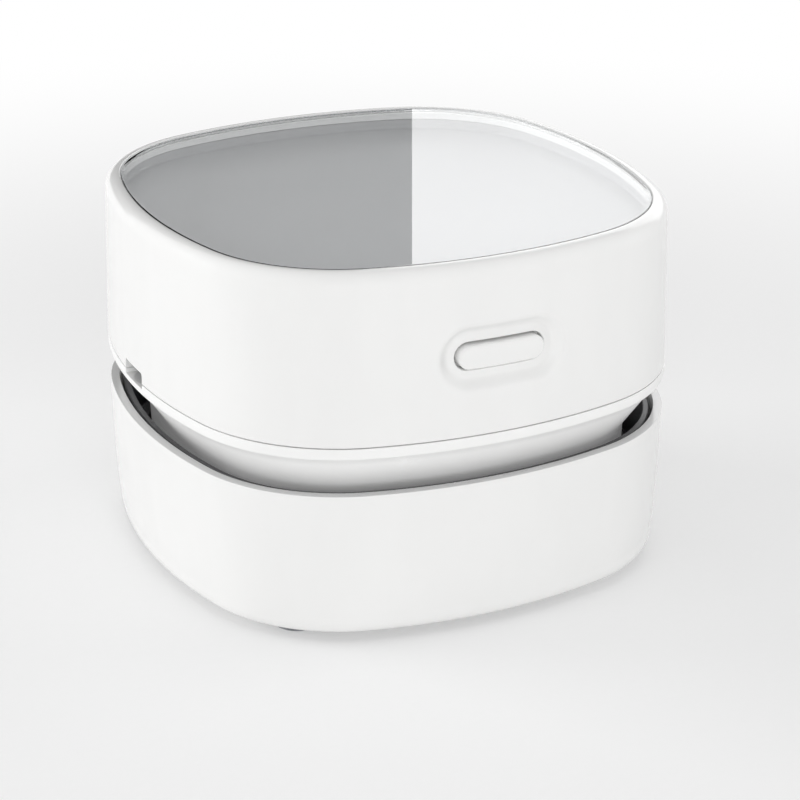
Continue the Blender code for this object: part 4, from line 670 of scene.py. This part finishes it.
def chassisShell():
    c = chassisSize
    around = stationsRound(20, 28)
    lean = arcPoints((0.6, 21.3), (5.4, 5.4), 0, 35, 8)  # upright foot, then a straight lean out to the flange
    profile = [(6.35, 17.2), (6.2, 17.35), (6.08, 19.5)] + lean + [(2.9, 27.42), (0.5, 30.86)]
    profile += smoothCurve([(0.38, 31.0), (0.05, 31.04), (-0.25, 31.17), (-0.44, 31.4), (-0.5, 31.7)], 3)
    profile += [(-0.5, 32.94), (-0.48, 33.02), (-0.42, 33.06), (1.1, 33.06), (1.1, 34.75), (1.25, 34.9), (1.95, 34.9), (2.1, 34.75), (2.1, 32.9),
                (7.6, 32.9), (7.6, 26.7)]
    loops = [ring(around, inset, z) for inset, z in profile]
    for radius, z in ((15.7, 26.7), (3.5, 26.7), (3.5, 24.9), (15.7, 24.9)):
        loops.append(roundRing(around, radius, z))
    loops += [ring(around, inset, z) for inset, z in ((8.0, 24.9), (7.8, 24.7), (7.8, 17.35), (7.65, 17.2))]
    mesh = loft(loops)
    made = piece("chassisShell", mesh, "chassisWhite", "main_unit", ["chassis"])
    across = [c["ventPitch"] * (i - (c["vents"] - 1) / 2) for i in range(c["vents"])]
    back = wallAt(across[-1], 7.6)
    tools = []
    for x in across:  # tall openings with round corners, in the back of the neck only
        tool = softBox((x - c["ventWide"] / 2, back - 3, c["ventLow"]), (x + c["ventWide"] / 2, 44, c["ventHigh"]), 0)
        upright = [e for e in tool.edges if abs((e.verts[0].co - e.verts[1].co).y) > 0.001]
        bmesh.ops.bevel(tool, geom=upright, offset=0.8 * mm, segments=5, profile=0.5, affect="EDGES")
        tools.append(tool)
    middle, half, floor = c["port"]
    pocket = softBox((-44, middle - half, floor), (-34.3, middle + half, 36), 0)
    carve(made, *tools, pocket)
    rest = bmesh.new()
    for x in (1, -1):
        for y in (1, -1):
            spot = (x * c["columnPlace"], y * c["columnPlace"])
            poured(rest, turnedMesh([(1.3, 18.2), (c["column"] - 0.15, 18.2), (c["column"], 18.35), (c["column"], 25.0), (1.3, 25.0)], 28, spot))
    piece("chassisColumns", rest, "satinWhite", "main_unit", [])
    return made


def fanPlate():
    around = stationsRound(16, 20)
    profile = [(6.35, 15.3), (6.2, 15.45), (6.2, 16.75), (6.35, 16.9)]
    loops = [ring(around, inset, z) for inset, z in profile]
    for radius, z in ((12.1, 16.9), (11.6, 16.75), (11.5, 16.4), (11.5, 15.8), (11.65, 15.45), (12.1, 15.3)):
        loops.append(roundRing(around, radius, z))
    made = piece("fanPlate", loft(loops), "satinWhite", "main_unit", ["fan_plate"])
    places = [(x * 24.8, y * 24.8) for x in (1, -1) for y in (1, -1)]
    carve(made, *[turnedMesh([(0, 16.8), (2.5, 16.8), (2.5, 15.4), (2.65, 15.2), (2.65, 14), (0, 14)], 32, spot) for spot in places])
    guard = bmesh.new()
    for angle in (0, 45, 90, 135):
        bar = softBox((-11.8, -0.55, 15.45), (11.8, 0.55, 16.75), 0.25, 2)
        bar.transform(Matrix.Rotation(math.radians(angle), 4, "Z"))
        poured(guard, bar)
    poured(guard, turnedMesh([(0, 15.3), (4.2, 15.3), (4.5, 15.55), (4.5, 16.65), (4.25, 16.9), (0, 16.9)], 40))
    poured(guard, turnedMesh(arcPoints((7.9, 16.1), (0.5, 0.62), 0, 330, 11), 48))
    piece("fanGuard", guard, "satinWhite", "main_unit", [])
    for number, (x, y) in enumerate(places, 1):
        head = turnedMesh([(0, 15.42), (1.2, 15.45), (1.9, 15.62), (2.2, 15.95), (2.2, 16.4), (2.1, 16.5),
                           (1.1, 16.5), (1.1, 41.5), (0, 41.5)], 28, (x, y))
        screw = piece(f"caseScrewHead{number}", head, "screwSteel", "main_unit", [])
        cross = [softBox((x - a, y - b, 15.0), (x + a, y + b, 15.95), 0) for a, b in ((1.35, 0.24), (0.24, 1.35))]
        carve(screw, *cross)
    for number in range(1, 5):
        middle = sum(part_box(f"case_screw_{number}"), Vector()).xy / 2
        nearest = min(range(1, 5), key=lambda n: (Vector(places[n - 1]) * mm - middle).length)
        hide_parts(f"case_screw_{number}")


wheel = {"radius": 24.0, "bladeLow": 17.6, "blades": 9, "inner": 9.0, "sweep": 34, "thick": 1.0}


def fanWheel():
    w = wheel
    mesh = turnedMesh([(1.0, 17.7), (3.3, 17.7), (3.8, 17.95), (4.0, 18.4), (4.15, 20.6), (5.4, 21.6), (7.5, 21.8),
                       (23.85, 21.8), (24.0, 21.95), (24.0, 22.85), (23.85, 23.0), (1.0, 23.0)], 72)
    for number in range(w["blades"]):
        start = 2 * math.pi * number / w["blades"]
        rows = []
        for i in range(13):
            share = i / 12
            radius = w["inner"] + (w["radius"] - 0.4 - w["inner"]) * share
            angle = start + math.radians(w["sweep"]) * share ** 0.9
            way = Vector((math.cos(angle), math.sin(angle), 0))
            side = Vector((-way.y, way.x, 0)) * w["thick"] / 2 * (0.75 + 0.25 * math.sin(math.pi * share))
            low = w["bladeLow"] + 0.9 * (1 - share) ** 3
            spot = way * radius
            rows.append([spot - side + Vector((0, 0, 22.2)), spot - side + Vector((0, 0, low + 0.2)), spot - side * 0.4 + Vector((0, 0, low)),
                         spot + side * 0.4 + Vector((0, 0, low)), spot + side + Vector((0, 0, low + 0.2)), spot + side + Vector((0, 0, 22.2))])
        poured(mesh, loft(rows, closed=False, capStart=True, capEnd=True))
    piece("fanWheel", mesh, "fanGrey", "rotor", ["impeller"], 40)


chassisShell()
fanPlate()
fanWheel()
print("chassis and fan made")


upper = {
    "bottom": 33.2, "wallTop": 57.6, "crest": 60.4,
    "draft": 0.5, "shoulder": 2.35, "fullness": 2.25,
    "dishHeight": 45.6, "dishLength": 21.1, "dishWidth": 10.4, "dishDepth": 1.2, "dishBlend": 1.7,
    "slotLength": 15.0, "slotWidth": 4.4,
    "portMiddle": 1.5, "portHalf": 3.9, "portTop": 35.0,
}


def dishShare(x, z, spread=0.0, blend=None):
    # 0 outside the dish, 1 on its floor, with a soft edge between
    u = upper
    straight, radius = (u["dishLength"] - u["dishWidth"]) / 2, u["dishWidth"] / 2 + spread
    across = max(abs(x) - straight, 0)
    inside = radius - math.hypot(across, z - u["dishHeight"])
    t = (inside / (blend or u["dishBlend"]) + 0.16) / 1.14
    t = max(0, min(1, t))
    return t * t * (3 - 2 * t)


def wallInset(z):
    u = upper
    return -u["draft"] * (u["wallTop"] - z) / (u["wallTop"] - u["bottom"])


def upperHousing():
    u = upper
    around = stationsRound(20, 30, frontPitch=0.3, frontReach=12.3, leftPitch=0.5, leftReach=6.5)
    front = [s for s in range(len(around)) if around[s][2].y < -0.9 and abs(at(around[s], 0, 0).x) < 13]
    inFront = set(front)

    def wallRing(inset, z, depth, spread):
        loop = []
        for i, s in enumerate(around):
            more = 0
            if i in inFront and depth:
                more = depth * dishShare(at(s, inset, z).x, z, spread)
            loop.append(at(s, inset + more, z))
        return loop

    rows = [33.36, 34.0, 34.7, 35.4, 36.4, 37.8, 39.2]
    fine = round((51.6 - 39.8) / 0.3)
    rows += [39.8 + 11.8 * i / fine for i in range(fine + 1)]
    rows += [52.6, 54.2, 55.8, 57.0]
    loops = [ring(around, inset, z) for inset, z in ((0.85, 33.2), (-0.32, 33.2), (-0.43, 33.23), (-0.485, 33.29))]
    loops += [wallRing(wallInset(z), z, u["dishDepth"], 0) for z in rows]
    shoulder = fullArc((0, u["wallTop"]), (u["shoulder"], u["crest"]), 16, u["fullness"])
    lip = [(2.41, 60.375), (2.445, 60.33), (2.46, 60.25), (2.46, 58.2), (2.95, 58.2), (2.95, 57.1)]
    loops += [ring(around, inset, z) for inset, z in shoulder + lip]
    loops.append(ring(around, 1.35, 57.1))
    for z in (56.0, 54.0, 52.8, 51.6, 50.4, 49.2, 48.0, 46.8, 45.6, 44.4, 43.2, 42.0, 40.8, 39.6, 38.4, 36.5):
        loops.append(wallRing(1.3 + (z - 57.1) / 48, z, 1.5, 1.3))
    loops.append(ring(around, 0.85, 33.5))
    made = piece("upperHousing", loft(loops), "glossWhite", "main_unit", ["upper_housing"])
    # the slot for the button, with a small lead-in at its edge
    floor = wallInset(u["dishHeight"]) + u["dishDepth"]
    cuts = []
    for grow, depth in ((0.5, -3.0), (0.5, -0.35), (0.3, -0.02), (0.08, 0.16), (0, 0.32), (0, 4.0)):
        cuts.append(bowedLoop(u["slotLength"] + grow, u["slotWidth"] + grow, u["dishHeight"], floor + depth))
    slot = loft(cuts, closed=False, capStart=True, capEnd=True)
    notch = bmesh.new()
    a, b, top, r = u["portMiddle"] - u["portHalf"], u["portMiddle"] + u["portHalf"], u["portTop"], 0.55
    turns = [math.pi / 2 * i / 5 for i in range(6)]
    shape = [(a, 31.0), (a, top - r)] + [(a + r - r * math.cos(t), top - r + r * math.sin(t)) for t in turns[1:]]
    shape += [(b - r + r * math.sin(t), top - r + r * math.cos(t)) for t in turns] + [(b, 31.0)]
    ends = [[notch.verts.new(Vector((x, y, z)) * mm) for y, z in shape] for x in (-45, -38)]
    for i in range(len(shape)):
        j = (i + 1) % len(shape)
        notch.faces.new((ends[0][i], ends[0][j], ends[1][j], ends[1][i]))
    notch.faces.new(ends[0])
    notch.faces.new(ends[1][::-1])
    carve(made, slot, notch)
    return made


upperHousing()
print("upper housing made")


lid = {"windowInset": 2.6, "windowLow": 58.5, "windowTop": 60.25, "trayFloor": 55.2, "trayInset": 2.3}


def windowAndTray():
    around = stationsRound(32, 36)
    low, top, inset = lid["windowLow"], lid["windowTop"], lid["windowInset"]
    profile = [(inset + 0.6, low), (inset + 0.15, low), (inset, low + 0.15), (inset, top - 0.16),
               (inset + 0.05, top - 0.05), (inset + 0.16, top), (inset + 0.6, top)]
    plate = loft([ring(around, i, z) for i, z in profile], closed=False, capStart=True, capEnd=True)
    piece("topWindow", plate, "clearAcrylic", "main_unit", ["top_window"])
    floor, wall = lid["trayFloor"], lid["trayInset"]
    profile = [(1.75, 54.0), (1.6, 54.15), (1.6, 56.65), (1.75, 56.8), (wall - 0.12, 56.8), (wall, 56.68)]
    profile += [(wall + 0.5 - 0.5 * math.cos(t), floor + 0.5 - 0.5 * math.sin(t)) for t in [math.pi / 2 * i / 6 for i in range(7)]]
    profile += [(wall + 1.2, floor)]
    tray = loft([ring(around, i, z) for i, z in profile], closed=False, capStart=True, capEnd=True)
    piece("topTray", tray, "trayGrey", "main_unit", ["top_tray"])


windowAndTray()


button = {"length": 14.4, "width": 3.8, "edge": 0.5, "dome": 0.1, "flange": 1.3, "flangeDeep": (39.65, 38.45)}


def powerButton():
    b, u = button, upper
    face = wallInset(u["dishHeight"])
    height = u["dishHeight"]
    loops = []
    near, far = b["flangeDeep"]
    wide = 2 * b["flange"]
    for grow, y in ((wide, far), (wide, near)):
        loops.append([Vector((x, -y, height + up)) for x, up in stadiumLoop(b["length"] + grow, b["width"] + grow)])
    loops.append([Vector((x, -near, height + up)) for x, up in stadiumLoop(b["length"], b["width"])])
    for i in range(7):  # rounded edge
        a = math.pi / 2 * i / 6
        shrink, back = b["edge"] * (1 - math.cos(a)), b["edge"] * (1 - math.sin(a))
        loops.append(bowedLoop(b["length"] - 2 * shrink, b["width"] - 2 * shrink, height, face + back + b["dome"]))
    inner = b["width"] - 2 * b["edge"]
    for i in range(1, 7):  # slightly domed face
        left = inner * (1 - i / 6)
        crown = b["dome"] * (1 - (left / inner) ** 2)
        loops.append(bowedLoop(b["length"] - b["width"] + left, max(left, 1e-6), height, face + b["dome"] - crown))
    mesh = loft(loops, closed=False, capStart=True)
    bmesh.ops.remove_doubles(mesh, verts=mesh.verts, dist=2e-6)
    piece("powerButton", mesh, "glossWhite", "button", ["power_button"], 40)


socket = {"front": -40.4, "back": -34.9, "middle": 1.5, "half": 3.6, "low": 32.7, "high": 35.1, "wall": 0.35}


def chargingSocket():
    s = socket
    middle, high = s["middle"], (s["low"] + s["high"]) / 2
    half, tall = s["half"], (s["high"] - s["low"]) / 2

    def section(x, shrink):
        radius = tall - shrink
        straight = half - tall
        loop = []
        for side in (1, -1):
            for i in range(12):
                a = math.pi * (i / 11 - 0.5)
                loop.append(Vector((x, middle + side * (straight + radius * math.cos(a)), high + side * radius * math.sin(a))))
        return loop

    f, k, w = s["front"], s["back"], s["wall"]
    shell = [section(k, 0), section(f + 0.12, 0), section(f, 0.1), section(f, w - 0.08), section(f + 0.15, w), section(k - 0.6, w)]
    mesh = loft(shell, closed=False, capStart=True, capEnd=True)
    piece("socketShell", mesh, "plainSteel", "main_unit", ["usb_receptacle"], 40)
    tongue = softBox((f + 0.7, middle - 2.1, high - 0.3), (k, middle + 2.1, high + 0.3), 0.1, 2)
    piece("socketTongue", tongue, "blackPlastic", "main_unit", [])
    pads = bmesh.new()
    for i in range(6):
        y = middle - 1.65 + 0.66 * i
        for z in (high + 0.29, high - 0.33):
            poured(pads, softBox((f + 0.9, y - 0.15, z), (f + 3.4, y + 0.15, z + 0.04), 0))
    piece("socketContacts", pads, "copperWire", "main_unit", [])


powerButton()
chargingSocket()
print("button and socket made")


kept = {
    "battery_pack": "batteryWrap", "motor_can": "plainSteel", "motor_magnet_left": "magnetIron", "motor_magnet_right": "magnetIron",
    "motor_armature": "copperWire", "motor_shaft": "plainSteel", "motor_end_cap": "blackPlastic", "motor_damper": "damperRubber",
    "motor_screw_1": "screwSteel", "motor_screw_2": "screwSteel", "board_screw_1": "screwSteel", "board_screw_2": "screwSteel",
    "motor_lead_1": "redWire", "motor_lead_2": "blackWire", "battery_lead_1": "redWire", "battery_lead_2": "blackWire",
    "push_switch": "blackPlastic", "switch_plunger": "plungerGrey", "switch_board": "circuitBoard", "charge_board": "circuitBoard",
}


def dressKept():
    for name, node in frame["nodes"].items():
        if node.hide_render:
            continue
        node.data.materials.clear()
        node.data.materials.append(finishes[kept[name]])


dressKept()
print("inner pieces dressed:", len(kept))


view = {"target": (0, 0, 33.475), "distance": 418.4, "azimuth": -25.18, "elevation": 21.09,
        "lens": 114.1, "shiftX": 0.0223, "shiftY": -0.0797}


def camera():
    v = view
    a, e = math.radians(v["azimuth"]), math.radians(v["elevation"])
    back = Vector((math.sin(a) * math.cos(e), -math.cos(a) * math.cos(e), math.sin(e)))
    data = bpy.data.cameras.new("camera")
    made = bpy.data.objects.new("camera", data)
    bpy.context.scene.collection.objects.link(made)
    made.location = (Vector(v["target"]) + back * v["distance"]) * mm
    made.rotation_euler = (-back).to_track_quat("-Z", "Y").to_euler()
    data.lens, data.sensor_width = v["lens"], 36
    data.shift_x, data.shift_y = v["shiftX"], v["shiftY"]
    data.clip_start, data.clip_end = 0.01, 20
    bpy.context.scene.camera = made
    return made


lightRig = {"world": 0.34, "floorWhite": 1.0, "floorLift": 0.35}


def world():
    made = bpy.data.worlds.new("studio")
    bpy.context.scene.world = made
    made.use_nodes = True
    tree = made.node_tree
    tree.nodes.clear()
    path = tree.nodes.new("ShaderNodeLightPath")
    first = tree.nodes.new("ShaderNodeMath")
    first.operation = "MAXIMUM"
    second = tree.nodes.new("ShaderNodeMath")
    second.operation = "MAXIMUM"
    plain, seen = tree.nodes.new("ShaderNodeBackground"), tree.nodes.new("ShaderNodeBackground")
    plain.inputs["Strength"].default_value = lightRig["world"]
    seen.inputs["Strength"].default_value = 1.0
    for shade in (plain, seen):
        shade.inputs["Color"].default_value = (1, 1, 1, 1)
    both, out = tree.nodes.new("ShaderNodeMixShader"), tree.nodes.new("ShaderNodeOutputWorld")
    join = tree.links.new
    join(path.outputs["Is Camera Ray"], first.inputs[0])
    join(path.outputs["Is Glossy Ray"], first.inputs[1])
    join(first.outputs[0], second.inputs[0])
    join(path.outputs["Is Transmission Ray"], second.inputs[1])
    join(second.outputs[0], both.inputs[0])
    join(plain.outputs[0], both.inputs[1])
    join(seen.outputs[0], both.inputs[2])
    join(both.outputs[0], out.inputs["Surface"])


def floorDisc():
    made = Finish("floorPaper")
    away = made.node("VectorMath", {"operation": "LENGTH"}, {0: made.spot}, out="Value")
    grain = made.noise(1.2, 3.0)
    made.set(Base_Color=made.tint(grain, (0.9, 0.9, 0.9), (0.93, 0.93, 0.93)), Roughness=0.9, Normal=made.bump(grain, 0.02, 0.2))
    made.shader.inputs["Specular IOR Level"].default_value = 0.1
    bright = made.node("Emission", None, {"Color": (1, 1, 1), "Strength": lightRig["floorWhite"]})
    seen = made.node("LightPath", out="Is Camera Ray") + made.node("LightPath", out="Is Glossy Ray")
    seen = seen + made.node("LightPath", out="Is Transmission Ray")
    fade = made.ease(away, 0.1, 0.32, lightRig["floorLift"], 1.0) * made.node("Math", {"operation": "MINIMUM"}, {0: seen, 1: 1.0})
    both = made.node("MixShader", None, {0: fade, 1: Wire(made, made.shader.outputs[0]), 2: bright})
    below = made.node("NewGeometry", out="Backfacing")  # the underside can be looked at through the floor
    whole = made.node("MixShader", None, {0: below, 1: both, 2: made.node("BsdfTransparent")})
    made.tree.links.new(whole.socket, made.output.inputs["Surface"])
    finishes["floorPaper"] = made.material
    mesh = bmesh.new()
    bmesh.ops.create_circle(mesh, cap_ends=True, radius=3.0, segments=96, matrix=Matrix.Translation((0, 0, -0.02 * mm)))
    disc = piece("floor", mesh, "floorPaper")


def softLight(name, way, size, power, away=800):
    # way is azimuth from the front and elevation, in degrees
    turn, lift = math.radians(way[0]), math.radians(way[1])
    middle = Vector((0, 0, 35))
    out = Vector((math.sin(turn) * math.cos(lift), -math.cos(turn) * math.cos(lift), math.sin(lift)))
    data = bpy.data.lights.new(name, "AREA")
    data.shape, data.size, data.size_y, data.energy = "RECTANGLE", size[0] * mm, size[1] * mm, power
    made = bpy.data.objects.new(name, data)
    bpy.context.scene.collection.objects.link(made)
    made.location = (middle + out * away) * mm
    made.rotation_euler = (-out).to_track_quat("-Z", "Y").to_euler()
    made.visible_camera = False
    made.visible_glossy = False
    return made


cards = {"split": 412, "rows": (108, 268), "far": 1000, "below": 110, "above": 420, "wide": 700,
         "bright": 2.6, "dark": 0.05}


def windowCards(eye):
    # two panels that only gloss sees; their meeting edge is mirrored upright in the window
    c = cards
    data, turn = eye.data, eye.matrix_world.to_3x3()
    top = lid["windowTop"] * mm
    mirrored = Vector((eye.location.x, eye.location.y, 2 * top - eye.location.z))
    edge = []
    for row in c["rows"]:
        across = ((c["split"] - 400) / 800 + data.shift_x) * 36 / data.lens
        up = ((400 - row) / 800 + data.shift_y) * 36 / data.lens
        ray = turn @ Vector((across, up, -1))
        spot = eye.location + ray * ((top - eye.location.z) / ray.z)
        edge.append((spot - mirrored).normalized())
    far = c["far"] * mm
    feet = [mirrored + ray * far / ray.xy.length for ray in edge]
    along = (feet[1] - feet[0]).normalized()
    side = along.cross((feet[0] - mirrored).normalized()).normalized()
    if (turn.transposed() @ side).x < 0:
        side = -side
    low, high = feet[0] - along * c["below"] * mm, feet[1] + along * c["above"] * mm
    for name, way, glow in (("brightCard", side, c["bright"]), ("darkCard", -side, c["dark"])):
        paper = Finish(name)
        upward = paper.ease(paper.node("SeparateXYZ", None, {0: paper.spot}, out="Z"), feet[0].z, feet[1].z)
        lit = paper.node("Emission", None, {"Color": paper.tint(upward, (0.78,) * 3, (1, 1, 1)), "Strength": glow})
        paper.tree.links.new(lit.socket, paper.output.inputs["Surface"])
        finishes[name] = paper.material
        mesh = bmesh.new()
        wide = way * c["wide"] * mm
        mesh.faces.new([mesh.verts.new(p) for p in (low, high, high + wide, low + wide)])
        card = piece(name, mesh, name)
        card.visible_camera = card.visible_diffuse = card.visible_transmission = card.visible_shadow = False


eye = camera()
world()
floorDisc()
bpy.context.view_layer.update()
windowCards(eye)
softLight("leftLight", (-128, 12), (450, 300), 3.7)
softLight("frontLight", (-18, 9), (450, 420), 3.2)
softLight("rightLight", (80, 14), (400, 380), 1.5)
softLight("topLight", (-45, 86), (700, 700), 1.55)
print("stage and lights made")
